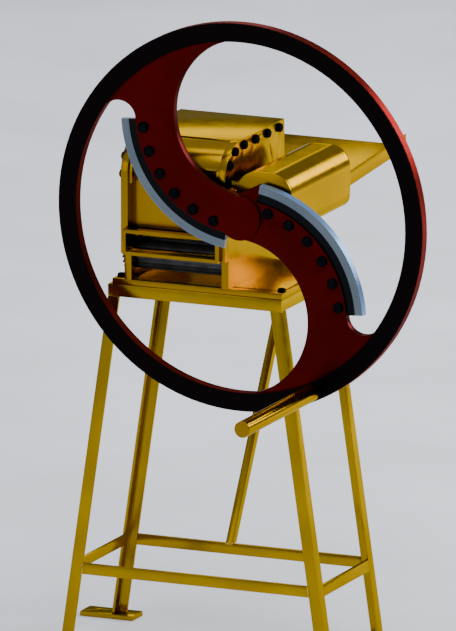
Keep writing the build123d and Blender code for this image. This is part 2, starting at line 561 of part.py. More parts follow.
# --- Gear case ---------------------------------------------------------------------------------------------
def case_outline(shrink):
    """The gear case in (X, Z), its walls moved in by shrink."""
    left, right = SHAFT_X + CASE_LEFT + shrink, SHAFT_X + CASE_RIGHT - shrink
    low, high = SHAFT_Z - CASE_BELOW + shrink, SHAFT_Z + CASE_ABOVE - shrink
    top_r, low_r = CASE_TOP_R - shrink, CASE_BOTTOM_R - shrink
    body = outline((left, low), (right, low), (right, high), (left, high))
    for x, inward in ((left, left + top_r), (right, right - top_r)):
        square = outline((x, high), (inward, high), (inward, high - top_r), (x, high - top_r))
        body = body - (square - disc(inward, high - top_r, top_r))
    square = outline((right, low), (right - low_r, low), (right - low_r, low + low_r), (right, low + low_r))
    return body - (square - disc(right - low_r, low + low_r, low_r))


def bracket_middles_y():
    """The two case brackets' middles along Y."""
    return ROLLER_Y - BRACKET_FRONT_LEAD, HEAD_REAR_Y - BRACKET_REAR_INSET


def bracket_bolt_places():
    """The bracket bolts' places in (Y, Z)."""
    middle_z = SHAFT_Z + BRACKET_LIFT
    return [(y, middle_z + sign * BRACKET_BOLT_PITCH / 2) for y in bracket_middles_y() for sign in (-1, 1)]


def build_gear_case():
    """The case over the worm drive, its end walls, bearings and brackets."""
    inner_front, inner_back = CASE_FRONT_Y + CASE_END_WALL, CASE_BACK_Y - CASE_END_WALL
    shell = along_y(case_outline(0) - case_outline(CASE_WALL), inner_front, inner_back)
    case_left = SHAFT_X + CASE_LEFT
    shaft_hole_d = CROSS_SHAFT_D + 2 * CASE_SHAFT_HOLE_GAP
    shell -= rod_x(CROSS_Y, CROSS_Z, shaft_hole_d, case_left - 1, case_left + CASE_WALL + 1)
    brackets, bolts = [], []
    middle_z = SHAFT_Z + BRACKET_LIFT
    for y in bracket_middles_y():
        bracket = block(HEAD_OUTER_RIGHT_X, case_left, y - BRACKET_LENGTH / 2, y + BRACKET_LENGTH / 2,
                        middle_z - BRACKET_HEIGHT / 2, middle_z + BRACKET_HEIGHT / 2)
        for place_y, z in bracket_bolt_places():
            bracket -= rod_x(place_y, z, BRACKET_BOLT_D + 2 * BOLT_GAP, HEAD_OUTER_RIGHT_X - 1, case_left + 1)
        brackets.append(bracket)
    for y, z in bracket_bolt_places():
        shell -= rod_x(y, z, BRACKET_BOLT_D + 2 * BOLT_GAP, case_left - 1, case_left + CASE_WALL + 1)
        head = along_x(hexagon(y, z, BRACKET_BOLT_AF), PLATE_RIGHT_X - BRACKET_BOLT_HEAD, PLATE_RIGHT_X)
        bolts.append(head + rod_x(y, z, BRACKET_BOLT_D, PLATE_RIGHT_X - 1, case_left + CASE_WALL))
    save("gear_case_shell", shell)
    save("gear_case_brackets", *brackets)
    save("bracket_bolts", *bolts)

    end_face = case_outline(0)
    front = along_y(end_face, CASE_FRONT_Y, inner_front)
    front -= rod_y(SHAFT_X, SHAFT_Z, SHAFT_BUSH_D, CASE_FRONT_Y - 1, inner_front + 1)
    save("gear_case_front", front)
    back = along_y(end_face, inner_back, CASE_BACK_Y)
    back -= rod_y(SHAFT_X, SHAFT_Z, BUSH_D, inner_back - 1, CASE_BACK_Y + 1)
    inset = CASE_WALL + CASE_SCREW_HEAD_D / 2
    left, right = SHAFT_X + CASE_LEFT + inset, SHAFT_X + CASE_RIGHT - inset
    screws = []
    for x, z in ((left, SHAFT_Z), (right, SHAFT_Z), ((left + right) / 2, SHAFT_Z + CASE_ABOVE - inset),
                 ((left + right) / 2, SHAFT_Z - CASE_BELOW + inset)):
        back -= rod_y(x, z, CASE_SCREW_D + 2 * BOLT_GAP, inner_back - 1, CASE_BACK_Y + 1)
        head = rod_y(x, z, CASE_SCREW_HEAD_D, CASE_BACK_Y, CASE_BACK_Y + CASE_SCREW_HEAD)
        screws.append(head + rod_y(x, z, CASE_SCREW_D, inner_back, CASE_BACK_Y + 1))
    save("gear_case_rear", back)
    save("gear_case_screws", *screws)

    front_end, back_end = inner_front + CASE_BUSH_REACH, inner_back - CASE_BUSH_REACH
    front_bush = rod_y(SHAFT_X, SHAFT_Z, SHAFT_BUSH_D, CASE_FRONT_Y, front_end)
    front_bush -= rod_y(SHAFT_X, SHAFT_Z, SHAFT_D + 2 * RUNNING_GAP, CASE_FRONT_Y - 1, front_end + 1)
    back_bush = rod_y(SHAFT_X, SHAFT_Z, BUSH_D, back_end, CASE_BACK_Y)
    back_bush -= rod_y(SHAFT_X, SHAFT_Z, SHAFT_TAIL_D + 2 * RUNNING_GAP, back_end - 1, CASE_BACK_Y + 1)
    save("main_shaft_bushes", front_bush, back_bush)


# --- Rollers, cross shaft and gears ------------------------------------------------------------------------
def bush_x(y, z, x0, x1):
    """A plain bearing bush along X."""
    bore = rod_x(y, z, CROSS_SHAFT_D + 2 * RUNNING_GAP, x0 - 1, x1 + 1)
    return rod_x(y, z, BUSH_D, x0, x1) - bore


def build_rollers():
    """Two fluted feed rollers geared together, and the cross shaft that drives them."""
    inside_l, inside_r = PLATE_LEFT_X + SIDE_PLATE, PLATE_RIGHT_X
    blind = HEAD_OUTER_RIGHT_X - BLIND_BORE_WALL
    gear_x1 = PLATE_LEFT_X - GEAR_STANDOFF
    gear_x0 = gear_x1 - GEAR_WIDTH
    bushes = []
    for z in (UPPER_Z, LOWER_Z):
        bushes.append(bush_x(ROLLER_Y, z, PLATE_LEFT_X, inside_l))
        bushes.append(bush_x(ROLLER_Y, z, inside_r, blind))
    bushes.append(bush_x(CROSS_Y, CROSS_Z, PLATE_LEFT_X, inside_l))
    bushes.append(bush_x(CROSS_Y, CROSS_Z, inside_r, HEAD_OUTER_RIGHT_X))
    save("side_plate_bushes", *bushes)

    tooth_step = 360.0 / ROLLER_TEETH
    for name, z, phase in (("upper", UPPER_Z, 90.0 + tooth_step / 2), ("lower", LOWER_Z, 90.0)):
        section = Circle(ROLLER_R)
        for flute in range(ROLLER_FLUTES):
            angle = 2 * pi * (flute + 0.5) / ROLLER_FLUTES
            section -= disc(ROLLER_R * cos(angle), ROLLER_R * sin(angle), FLUTE_R)
        section -= Circle(CROSS_SHAFT_D / 2)
        roller = along_x(Pos(ROLLER_Y, z) * section, inside_l + ROLLER_END_GAP, inside_r - ROLLER_END_GAP)
        save(f"{name}_roller", roller)
        shaft = rod_x(ROLLER_Y, z, CROSS_SHAFT_D, gear_x0 - SHAFT_STUB, blind - SHAFT_END_GAP)
        save(f"{name}_roller_shaft", shaft)
        wheel = spur_gear_outline(GEAR_MODULE, ROLLER_TEETH, phase) - Circle(CROSS_SHAFT_D / 2)
        save(f"{name}_roller_gear", along_x(Pos(ROLLER_Y, z) * wheel, gear_x0, gear_x1))

    case_left = SHAFT_X + CASE_LEFT
    wheel_x0, wheel_x1 = SHAFT_X - WORM_WHEEL_WIDTH / 2, SHAFT_X + WORM_WHEEL_WIDTH / 2
    shaft = rod_x(CROSS_Y, CROSS_Z, CROSS_SHAFT_D, gear_x0 - SHAFT_STUB, wheel_x1 + CROSS_SHAFT_TAIL)
    save("cross_shaft", shaft)
    pinion = spur_gear_outline(GEAR_MODULE, PINION_TEETH, -90.0) - Circle(CROSS_SHAFT_D / 2)
    save("drive_pinion", along_x(Pos(CROSS_Y, CROSS_Z) * pinion, gear_x0, gear_x1))
    teeth = rack_tooth_wheel(-90.0 + 180.0 / WORM_WHEEL_TEETH) - Circle(CROSS_SHAFT_D / 2)
    wheel = along_x(Pos(CROSS_Y, CROSS_Z) * teeth, wheel_x0, wheel_x1)
    boss = Circle(CROSS_SHAFT_D / 2 + WORM_WHEEL_BOSS_WALL) - Circle(CROSS_SHAFT_D / 2)
    wheel += along_x(Pos(CROSS_Y, CROSS_Z) * boss, case_left + CASE_WALL + WORM_WHEEL_BOSS_GAP, wheel_x0)
    save("worm_wheel", wheel)


# --- Flywheel ----------------------------------------------------------------------------------------------
def around_arm(radius, angle):
    """A point at a radius and angle about the centre of the arm's outer arc, in (X, Z) from the shaft."""
    return ARM_OUTER_X + radius * cos(radians(angle)), ARM_OUTER_Z + radius * sin(radians(angle))


def notch_centre():
    """The centre of the fillet that touches both the arm's outer arc and the rim's inside."""
    from_arm, from_rim = ARM_OUTER_R + NOTCH_R, WHEEL_INNER_R - NOTCH_R
    apart = hypot(ARM_OUTER_X, ARM_OUTER_Z)
    turn = acos((apart ** 2 + from_rim ** 2 - from_arm ** 2) / (2 * apart * from_rim))
    angle = atan2(ARM_OUTER_Z, ARM_OUTER_X) + turn
    return from_rim * cos(angle), from_rim * sin(angle)


def arc_between(centre_a, centre_b, radius, start, end):
    """An arc about a centre from one angle to another, in radians."""
    turns = (start, (start + end) / 2, end)
    return ThreePointArc(*[(centre_a + radius * cos(t), centre_b + radius * sin(t)) for t in turns])


def rim_meeting(centre_a, centre_b, radius):
    """The angle about the shaft at which a circle crosses the rim's inside, on the arm's side."""
    apart = hypot(centre_a, centre_b)
    turn = acos((apart ** 2 + WHEEL_INNER_R ** 2 - radius ** 2) / (2 * apart * WHEEL_INNER_R))
    return atan2(centre_b, centre_a) + turn


def full_turn(angle):
    """The same angle between 0 and a full turn."""
    return angle % (2 * pi)


def arm_outline():
    """One S-shaped arm in (X, Z) from the shaft: between two arcs, with a fillet at the rim."""
    inner_meet = rim_meeting(ARM_INNER_X, ARM_INNER_Z, ARM_INNER_R)
    meet_a, meet_b = WHEEL_INNER_R * cos(inner_meet), WHEEL_INNER_R * sin(inner_meet)
    notch_x, notch_z = notch_centre()
    trim = atan2(notch_z, notch_x) - radians(NOTCH_TRIM)
    toe_x, toe_z = notch_x + NOTCH_R * cos(trim), notch_z + NOTCH_R * sin(trim)
    toe_turn = atan2(toe_z, toe_x)
    to_arm = atan2(ARM_OUTER_Z - notch_z, ARM_OUTER_X - notch_x)
    arm_side = full_turn(atan2(notch_z - ARM_OUTER_Z, notch_x - ARM_OUTER_X))
    outer_low = full_turn(atan2(-(ARM_OUTER_R ** 2 - ARM_OUTER_X ** 2) ** 0.5, -ARM_OUTER_X))
    inner_low = full_turn(atan2(-(ARM_INNER_R ** 2 - ARM_INNER_X ** 2) ** 0.5, -ARM_INNER_X))
    inner_high = full_turn(atan2(meet_b - ARM_INNER_Z, meet_a - ARM_INNER_X))
    toe_step = Line((WHEEL_INNER_R * cos(toe_turn), WHEEL_INNER_R * sin(toe_turn)), (toe_x, toe_z))
    hub_line = Line(
        (0, ARM_OUTER_Z + ARM_OUTER_R * sin(outer_low)),
        (0, ARM_INNER_Z + ARM_INNER_R * sin(inner_low)),
    )
    return make_face([
        arc_between(0, 0, WHEEL_INNER_R, inner_meet, toe_turn),
        toe_step,
        arc_between(notch_x, notch_z, NOTCH_R, trim, to_arm),
        arc_between(ARM_OUTER_X, ARM_OUTER_Z, ARM_OUTER_R, arm_side, outer_low),
        hub_line,
        arc_between(ARM_INNER_X, ARM_INNER_Z, ARM_INNER_R, inner_low, inner_high),
    ])


def both_arms(part):
    """The part and its copy half a turn round the shaft."""
    axis = Axis((SHAFT_X, 0, SHAFT_Z), (0, 1, 0))
    return part, part.rotate(axis, 180)


def blade_bolt_places():
    """The blade bolts on the first arm, in (X, Z) from the shaft."""
    return [around_arm(BLADE_BOLT_R, BLADE_BOLT_FIRST + BLADE_BOLT_STEP * n) for n in range(BLADE_BOLTS)]


def arm_ring(radius_out, radius_in, start, end):
    """A ring sector about the arm's outer arc, placed in the row's (X, Z)."""
    centre = Pos(SHAFT_X + ARM_OUTER_X, SHAFT_Z + ARM_OUTER_Z)
    return centre * sector(radius_out, radius_in, start, end)


def build_flywheel():
    """The rim, the cast hub with its two arms, the blades and their bolts, the shaft and the worm."""
    wheel_back = WHEEL_FRONT_Y + RIM_WIDTH
    rim = along_y(Pos(SHAFT_X, SHAFT_Z) * (Circle(RIM_R) - Circle(WHEEL_INNER_R)), WHEEL_FRONT_Y, wheel_back)
    rim -= rod_y(HANDLE_X, HANDLE_Z, SPINDLE_D, WHEEL_FRONT_Y - 1, wheel_back + 1)
    edges = rim.edges().filter_by(GeomType.CIRCLE)
    save("flywheel_rim", fillet([e for e in edges if e.radius > WHEEL_INNER_R - 1], EDGE_FILLET))

    arm = along_y(Pos(SHAFT_X, SHAFT_Z) * arm_outline(), ARM_FRONT_Y, ARM_BACK_Y)
    tongue_y = WHEEL_FRONT_Y + TONGUE_FRONT
    seat_start, seat_end = BLADE_START - BLADE_SEAT_TURN, BLADE_END + BLADE_SEAT_TURN
    seat = arm_ring(ARM_OUTER_R + BLADE_SEAT_CUT, TONGUE_R - BLADE_SEAT_GAP, seat_start, seat_end)
    arm -= along_y(seat, tongue_y - BLADE_SEAT_GAP / 2, ARM_BACK_Y + 1)
    bolts = []
    for x, z in blade_bolt_places():
        x, z = SHAFT_X + x, SHAFT_Z + z
        arm -= rod_y(x, z, BLADE_BOLT_D + 2 * BOLT_GAP, ARM_FRONT_Y - 1, ARM_BACK_Y + 1)
        head = along_y(hexagon(x, z, BLADE_BOLT_AF), ARM_FRONT_Y - BLADE_BOLT_HEAD, ARM_FRONT_Y)
        bolts.append(head + rod_y(x, z, BLADE_BOLT_D, ARM_FRONT_Y - 1, WHEEL_FRONT_Y + BLADE_BACK - 1))
    first, second = both_arms(arm)
    spider = first + second + rod_y(SHAFT_X, SHAFT_Z, 2 * HUB_R, HUB_FRONT_Y, HUB_BACK_Y)
    bore_front = HUB_FRONT_Y + HUB_BLIND_WALL
    spider -= rod_y(SHAFT_X, SHAFT_Z, SHAFT_D, bore_front, HUB_BACK_Y + 1)
    key_z = SHAFT_Z + SHAFT_D / 2
    key_hole = block(SHAFT_X - KEY_WIDTH / 2, SHAFT_X + KEY_WIDTH / 2, HUB_BACK_Y - KEY_LENGTH, HUB_BACK_Y,
                     key_z - KEY_WIDTH / 2, key_z + KEY_WIDTH / 2)
    spider -= key_hole
    screw_y = HUB_BACK_Y - SET_SCREW_D / 2 - SET_SCREW_INSET
    screw = Pos(SHAFT_X + HUB_R - SET_SCREW_LENGTH / 2, screw_y, SHAFT_Z) * Rot(0, 90, 0)
    spider -= Pos(SHAFT_X + HUB_R / 2 + SHAFT_D / 4, screw_y, SHAFT_Z) * Rot(0, 90, 0) * Cylinder(
        SET_SCREW_D / 2 + BOLT_GAP, HUB_R - SHAFT_D / 2 + 4)
    save("flywheel_arms", spider)
    save("hub_key", key_hole)
    socket = extrude(hexagon(0, 0, SET_SCREW_D / 2), amount=-SET_SCREW_SOCKET)
    socket = Pos(0, 0, SET_SCREW_LENGTH / 2) * socket
    save("hub_set_screw", screw * (Cylinder(SET_SCREW_D / 2, SET_SCREW_LENGTH) - socket))

    start = radians(BLADE_START)
    axis_x, axis_z = SHAFT_X + ARM_OUTER_X, SHAFT_Z + ARM_OUTER_Z
    plane = Plane((axis_x, WHEEL_FRONT_Y, axis_z), x_dir=(cos(start), 0, sin(start)),
                  z_dir=(-sin(start), 0, cos(start)))
    shoulder_r = ARM_OUTER_R + BLADE_SEAT_GAP
    section = outline(
        (TONGUE_R, TONGUE_FRONT), (shoulder_r, TONGUE_FRONT), (shoulder_r, BLADE_FRONT),
        (BLADE_FACE_R, BLADE_FRONT), (BLADE_EDGE_R, BLADE_BACK), (TONGUE_R, BLADE_BACK),
    )
    blade = revolve(plane * section, Axis((axis_x, 0, axis_z), (0, -1, 0)), BLADE_END - BLADE_START)
    for x, z in blade_bolt_places():
        blade -= rod_y(SHAFT_X + x, SHAFT_Z + z, BLADE_BOLT_D + 2 * BOLT_GAP, ARM_FRONT_Y,
                       WHEEL_FRONT_Y + BLADE_BACK + 1)
    blade -= rod_y(SHAFT_X, SHAFT_Z, 2 * (HUB_R + BLADE_HUB_GAP), ARM_FRONT_Y, HUB_BACK_Y)
    for number, copies in enumerate(zip(both_arms(blade), zip(*[both_arms(bolt) for bolt in bolts])), start=1):
        save(f"blade_{number}", copies[0])
        save(f"blade_bolts_{number}", *copies[1])

    shaft = rod_y(SHAFT_X, SHAFT_Z, SHAFT_D, bore_front, WORM_FRONT_Y)
    shaft += rod_y(SHAFT_X, SHAFT_Z, SHAFT_TAIL_D, WORM_FRONT_Y, CASE_BACK_Y + MAIN_SHAFT_TAIL)
    shaft -= key_hole
    save("main_shaft", shaft)
    build_worm()


def build_worm():
    """A single-start right-hand worm. Its thread's middle is on top of the shaft under the worm wheel."""
    pitch = pi * WORM_MODULE
    root_r, tip_r = WORM_PITCH_R - 1.25 * WORM_MODULE, WORM_PITCH_R + WORM_MODULE
    flank = tan(radians(PRESSURE_ANGLE))
    low, high = root_r - WORM_ROOT_SINK, tip_r
    half_low = WORM_TOOTH / 2 + (WORM_PITCH_R - low) * flank
    half_high = WORM_TOOTH / 2 - (high - WORM_PITCH_R) * flank
    length = WORM_TURNS * pitch
    path = Helix(pitch=pitch, height=length, radius=WORM_PITCH_R)
    section = outline((low, -half_low), (high, -half_high), (high, half_high), (low, half_low))
    upright = Plane((0, 0, 0), x_dir=(1, 0, 0), z_dir=(0, -1, 0)) * section
    thread = sweep(upright, path=path, is_frenet=True)
    core = Pos(0, 0, length / 2) * Cylinder(root_r, WORM_LENGTH)
    worm = core + thread
    worm -= Pos(0, 0, length / 2) * Cylinder(SHAFT_TAIL_D / 2, WORM_LENGTH + 2)
    # The helix starts on +X and climbs along +Z. Turned over, its axis runs along +Y and its start is on top.
    frame = Plane((SHAFT_X, CROSS_Y - length / 2, SHAFT_Z), x_dir=(0, 0, 1), z_dir=(0, 1, 0))
    save("drive_worm", frame * worm)


def build_handle():
    """The spindle through the rim, and the grip that turns on it."""
    front = WHEEL_FRONT_Y - HANDLE_REACH
    collar_front = WHEEL_FRONT_Y - COLLAR_THICKNESS
    wheel_back = WHEEL_FRONT_Y + RIM_WIDTH
    save("handle_collar", rod_y(HANDLE_X, HANDLE_Z, COLLAR_D, collar_front, WHEEL_FRONT_Y)
         - rod_y(HANDLE_X, HANDLE_Z, SPINDLE_D, collar_front - 1, WHEEL_FRONT_Y + 1))
    spindle_front = front + CAP_THICKNESS + SPINDLE_SHORT
    spindle_back = wheel_back + NUT_HEIGHT + SPINDLE_PROUD
    save("handle_spindle", rod_y(HANDLE_X, HANDLE_Z, SPINDLE_D, spindle_front, spindle_back))
    nut = along_y(hexagon(HANDLE_X, HANDLE_Z, NUT_AF), wheel_back, wheel_back + NUT_HEIGHT)
    nut -= rod_y(HANDLE_X, HANDLE_Z, SPINDLE_D, wheel_back - 1, wheel_back + NUT_HEIGHT + 1)
    save("spindle_nut", nut)
    grip_back = collar_front - GRIP_END_GAP
    grip_front = front + CAP_THICKNESS
    bore_d = GRIP_D - 2 * GRIP_WALL
    save("handle_grip", rod_y(HANDLE_X, HANDLE_Z, GRIP_D, grip_front, grip_back)
         - rod_y(HANDLE_X, HANDLE_Z, bore_d, grip_front - 1, grip_back + 1))
    bushes = []
    for y0 in (grip_back - GRIP_BUSH_LENGTH, spindle_front + GRIP_BUSH_INSET):
        tube = rod_y(HANDLE_X, HANDLE_Z, bore_d, y0, y0 + GRIP_BUSH_LENGTH)
        bushes.append(tube - rod_y(HANDLE_X, HANDLE_Z, SPINDLE_D + 2 * RUNNING_GAP, y0 - 1,
                                   y0 + GRIP_BUSH_LENGTH + 1))
    save("grip_bushes", *bushes)
    cap = rod_y(HANDLE_X, HANDLE_Z, GRIP_D, front, grip_front)
    cap_edges = cap.edges().filter_by(GeomType.CIRCLE).sort_by(Axis.Y)
    save("grip_end_cap", fillet(cap_edges[0], EDGE_FILLET))


build_stand()
build_head()
build_tray()
build_gear_case()
build_rollers()
build_flywheel()
build_handle()
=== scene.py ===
"""A hand-operated chaff cutter in gold lacquer and red enamel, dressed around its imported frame.

Lengths are in metres in the row's frame. A field whose name ends in _mm is in millimetres.
"""

import json
import logging
import math
from collections.abc import Callable, Iterable, Sequence
from dataclasses import dataclass, field
from enum import Enum
from typing import Any

import bmesh
import bpy
from mathutils import Matrix, Vector

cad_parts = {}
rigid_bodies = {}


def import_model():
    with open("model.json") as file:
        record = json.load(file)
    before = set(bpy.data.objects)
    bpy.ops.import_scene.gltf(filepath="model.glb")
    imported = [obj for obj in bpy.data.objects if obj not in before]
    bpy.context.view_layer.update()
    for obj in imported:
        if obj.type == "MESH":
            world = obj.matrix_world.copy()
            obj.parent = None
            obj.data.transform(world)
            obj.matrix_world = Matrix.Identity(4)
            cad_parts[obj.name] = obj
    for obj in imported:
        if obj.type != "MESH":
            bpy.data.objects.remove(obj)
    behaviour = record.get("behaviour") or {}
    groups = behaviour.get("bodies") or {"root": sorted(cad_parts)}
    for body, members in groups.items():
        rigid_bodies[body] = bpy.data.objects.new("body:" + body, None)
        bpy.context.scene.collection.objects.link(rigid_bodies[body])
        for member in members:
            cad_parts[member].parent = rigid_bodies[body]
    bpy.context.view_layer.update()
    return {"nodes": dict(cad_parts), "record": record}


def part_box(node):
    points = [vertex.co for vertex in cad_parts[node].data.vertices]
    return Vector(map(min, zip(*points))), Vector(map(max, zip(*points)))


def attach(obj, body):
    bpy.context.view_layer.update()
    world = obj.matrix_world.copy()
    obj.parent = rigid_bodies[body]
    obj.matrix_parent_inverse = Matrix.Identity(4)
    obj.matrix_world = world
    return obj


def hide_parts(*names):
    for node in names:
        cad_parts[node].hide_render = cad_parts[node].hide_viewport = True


LOG = logging.getLogger("chaff_cutter")
MM = 0.001
IMAGE_HEIGHT_PX = 631
MERGE = 0.01 * MM  # vertices closer than this are one
FLAT_ANGLE = math.radians(0.6)  # faces that meet at less are one flat face
SHARP_ANGLE = math.radians(28)  # edges that are rounded
HARD_ANGLE = math.radians(32)  # edges that are shaded hard
SMALL_EDGE_MM = 1.2  # rounding on small machined pieces


class Side(Enum):
    """The way a fastener's head faces."""

    FRONT = (0.0, -1.0, 0.0)
    LEFT = (-1.0, 0.0, 0.0)
    RIGHT = (1.0, 0.0, 0.0)
    UP = (0.0, 0.0, 1.0)


# --- Colour and nodes --------------------------------------------------------------------------------------
def linear(colour: str) -> tuple[float, float, float, float]:
    """Turns an sRGB hex colour into linear values.

    Args:
        colour: Six hex digits.

    Returns:
        Red, green, blue and an alpha of 1.
    """
    parts = [int(colour[start:start + 2], 16) / 255 for start in (0, 2, 4)]
    red, green, blue = (p / 12.92 if p <= 0.04045 else ((p + 0.055) / 1.055) ** 2.4 for p in parts)
    return red, green, blue, 1.0


def add(tree: bpy.types.NodeTree, kind: str, settings: dict[str, Any] | None = None,
        links: dict[str | int, bpy.types.NodeSocket] | None = None,
        **attributes: Any) -> bpy.types.Node:
    """Adds one node with its settings and links.

    Args:
        tree: The tree that the node goes in.
        kind: The node's Blender type.
        settings: Values by input name or number.
        links: Output sockets by the input they feed.
        **attributes: The node's own properties, such as operation.

    Returns:
        The new node.
    """
    made = tree.nodes.new(kind)
    for name, value in attributes.items():
        setattr(made, name, value)
    for name, value in (settings or {}).items():
        made.inputs[name].default_value = value
    for name, socket in (links or {}).items():
        tree.links.new(socket, made.inputs[name])
    return made


def ramp(tree: bpy.types.NodeTree, source: bpy.types.NodeSocket,
         stops: Sequence[tuple[float, tuple[float, float, float, float]]]) -> bpy.types.NodeSocket:
    """Maps a value to colours.

    Args:
        tree: The tree that the node goes in.
        source: The value to map.
        stops: Place and colour of each stop, in order.

    Returns:
        The colour socket.
    """
    made = add(tree, "ShaderNodeValToRGB", links={0: source})
    elements = made.color_ramp.elements
    while len(elements) < len(stops):
        elements.new(0.5)
    for element, (place, colour) in zip(elements, stops):
        element.position = place
        element.color = colour
    return made.outputs[0]


@dataclass(frozen=True)
class Finish:
    """A surface finish with uneven colour, uneven gloss and a fine relief.

    Its patterns are sized in millimetres and follow the piece that they are on. The edge colour is what the
    surface reflects at a grazing angle, where an untinted metal would turn white.
    """

    name: str
    colour: str
    shade: str
    metallic: float
    roughness: float
    roughness_spread: float = 0.08
    patch_mm: float = 60.0
    grain_mm: float = 1.5
    relief_mm: float = 0.05
    coat: float = 0.0
    coat_roughness: float = 0.06
    edge: str = "FFFFFF"

    def noise(self, tree: bpy.types.NodeTree, place: bpy.types.NodeSocket, size_mm: float,
              detail: float = 4.0) -> bpy.types.NodeSocket:
        """Adds noise whose features are about size_mm across.

        Args:
            tree: The tree that the node goes in.
            place: The coordinates.
            size_mm: The feature size.
            detail: Octaves.

        Returns:
            The noise value.
        """
        scale = 1 / (size_mm * MM)
        made = add(tree, "ShaderNodeTexNoise", {"Scale": scale, "Detail": detail}, {"Vector": place})
        return made.outputs["Fac"]

    def base_colour(self, tree: bpy.types.NodeTree, place: bpy.types.NodeSocket) -> bpy.types.NodeSocket:
        """Mixes the two colours in soft patches.

        Args:
            tree: The material's tree.
            place: Coordinates in metres.

        Returns:
            The colour socket.
        """
        patches = self.noise(tree, place, self.patch_mm)
        return ramp(tree, patches, [(0.35, linear(self.shade)), (0.62, linear(self.colour))])

    def material(self) -> bpy.types.Material:
        """Builds the material.

        Returns:
            A node-based material with colour, gloss and relief.
        """
        material = bpy.data.materials.new(self.name)
        material.use_nodes = True
        tree = material.node_tree
        shader = tree.nodes["Principled BSDF"]
        shader.inputs["Metallic"].default_value = self.metallic
        shader.inputs["Specular Tint"].default_value = linear(self.edge)
        shader.inputs["Coat Weight"].default_value = self.coat
        shader.inputs["Coat Roughness"].default_value = self.coat_roughness
        place = add(tree, "ShaderNodeTexCoord").outputs["Object"]
        tree.links.new(self.base_colour(tree, place), shader.inputs["Base Color"])
        low, high = self.roughness, self.roughness + self.roughness_spread
        limits = {"From Min": 0.3, "From Max": 0.7, "To Min": low, "To Max": high}
        uneven = self.noise(tree, place, self.patch_mm / 4, 6.0)
        gloss = add(tree, "ShaderNodeMapRange", limits, {"Value": uneven})
        tree.links.new(gloss.outputs[0], shader.inputs["Roughness"])
        grain = self.noise(tree, place, self.grain_mm, 2.0)
        depth = {"Strength": 0.35, "Distance": self.relief_mm * MM}
        relief = add(tree, "ShaderNodeBump", depth, {"Height": grain})
        tree.links.new(relief.outputs[0], shader.inputs["Normal"])
        return material


@dataclass(frozen=True)
class RimFinish(Finish):
    """Red enamel, with the rim's front face painted black."""

    front_colour: str = "07080A"
    front_y: float = 0.0
    border_mm: float = 1.2

    def base_colour(self, tree: bpy.types.NodeTree, place: bpy.types.NodeSocket) -> bpy.types.NodeSocket:
        """Black ahead of the border, red behind it.

        Args:
            tree: The material's tree.
            place: Coordinates in metres.

        Returns:
            The colour socket.
        """
        red = super().base_colour(tree, place)
        depth = add(tree, "ShaderNodeSeparateXYZ", links={0: place}).outputs["Y"]
        behind = add(tree, "ShaderNodeMath", {1: self.front_y + self.border_mm * MM}, {0: depth},
                     operation="GREATER_THAN")
        mix = add(tree, "ShaderNodeMix", links={"Factor": behind.outputs[0]}, data_type="RGBA")
        mix.inputs[6].default_value = linear(self.front_colour)
        tree.links.new(red, mix.inputs[7])
        return mix.outputs[2]


@dataclass(frozen=True)
class BladeFinish(Finish):
    """Tool steel: black scale by the arm, a ground band beside it, and a painted pale blue reflection on the
    bevel at the edge.
    """

    centre_x: float = 0.0
    centre_z: float = 0.0
    scale_colour: str = "0A0D10"
    # painted reflection: the bevel's light blue stands in for what the ground bevel mirrors
    bevel_reflection_colour: str = "6F93BE"
    ground_mm: float = 300.0
    bevel_mm: float = 319.0

    def base_colour(self, tree: bpy.types.NodeTree, place: bpy.types.NodeSocket) -> bpy.types.NodeSocket:
        """Sets the colour by the distance from the middle of the blade's arc.

        Args:
            tree: The material's tree.
            place: Coordinates in metres.

        Returns:
            The colour socket.
        """
        steel = super().base_colour(tree, place)
        parts = add(tree, "ShaderNodeSeparateXYZ", links={0: place})
        flat = add(tree, "ShaderNodeCombineXYZ", links={"X": parts.outputs["X"], "Z": parts.outputs["Z"]})
        centre = (self.centre_x, 0.0, self.centre_z)
        away = add(tree, "ShaderNodeVectorMath", {1: centre}, {0: flat.outputs[0]},
                   operation="DISTANCE").outputs["Value"]
        socket = steel
        # black scale inside the ground radius; outside the bevel radius, the painted pale blue reflection
        for limit_mm, colour, test in ((self.ground_mm, self.scale_colour, "LESS_THAN"),
                                       (self.bevel_mm, self.bevel_reflection_colour, "GREATER_THAN")):
            chosen = add(tree, "ShaderNodeMath", {1: limit_mm * MM}, {0: away}, operation=test)
            mix = add(tree, "ShaderNodeMix", links={"Factor": chosen.outputs[0]}, data_type="RGBA")
            mix.inputs[7].default_value = linear(colour)
            tree.links.new(socket, mix.inputs[6])
            socket = mix.outputs[2]
        return socket


# Brass-toned metallic lacquer sprayed on smooth sheet. It mirrors like polished metal, slightly blurred. Its
# orange peel, 9 mm from crest to crest, is drawn coarser than the real 2 mm or so, which would not show.
GOLD_LACQUER = Finish(
    "gold_lacquer", "967200", "8A6800", metallic=1.0, roughness=0.17, roughness_spread=0.06, patch_mm=160.0,
    grain_mm=9.0, relief_mm=0.015, coat=0.0, coat_roughness=0.04, edge="F4E070")
# The same lacquer on hot-rolled angle. The mill scale beneath makes it a little blurrier and more uneven.
STAND_LACQUER = Finish(
    "gold_lacquer_on_angle", "9E7E02", "907200", metallic=1.0, roughness=0.18, roughness_spread=0.08,
    patch_mm=140.0, grain_mm=7.0, relief_mm=0.02, coat=0.0, coat_roughness=0.06, edge="F4E070")
# Brushed enamel over sand-cast iron: deep red with a soft sheen, on a slightly pebbled casting.
RED_ENAMEL = Finish(
    "red_enamel_on_cast_iron", "480406", "3E0304", metallic=0.85, roughness=0.28, roughness_spread=0.08,
    patch_mm=140.0, grain_mm=5.0, relief_mm=0.03, coat=0.0, coat_roughness=0.12, edge="B86A58")
# Black oxide, hot-dipped and oiled: near black with a dull sheen.
BLACK_OXIDE = Finish(
    "black_oxide_steel", "0B0E12", "07090C", metallic=0.95, roughness=0.26, roughness_spread=0.10,
    patch_mm=12.0, grain_mm=0.6, relief_mm=0.01, edge="8A9098")
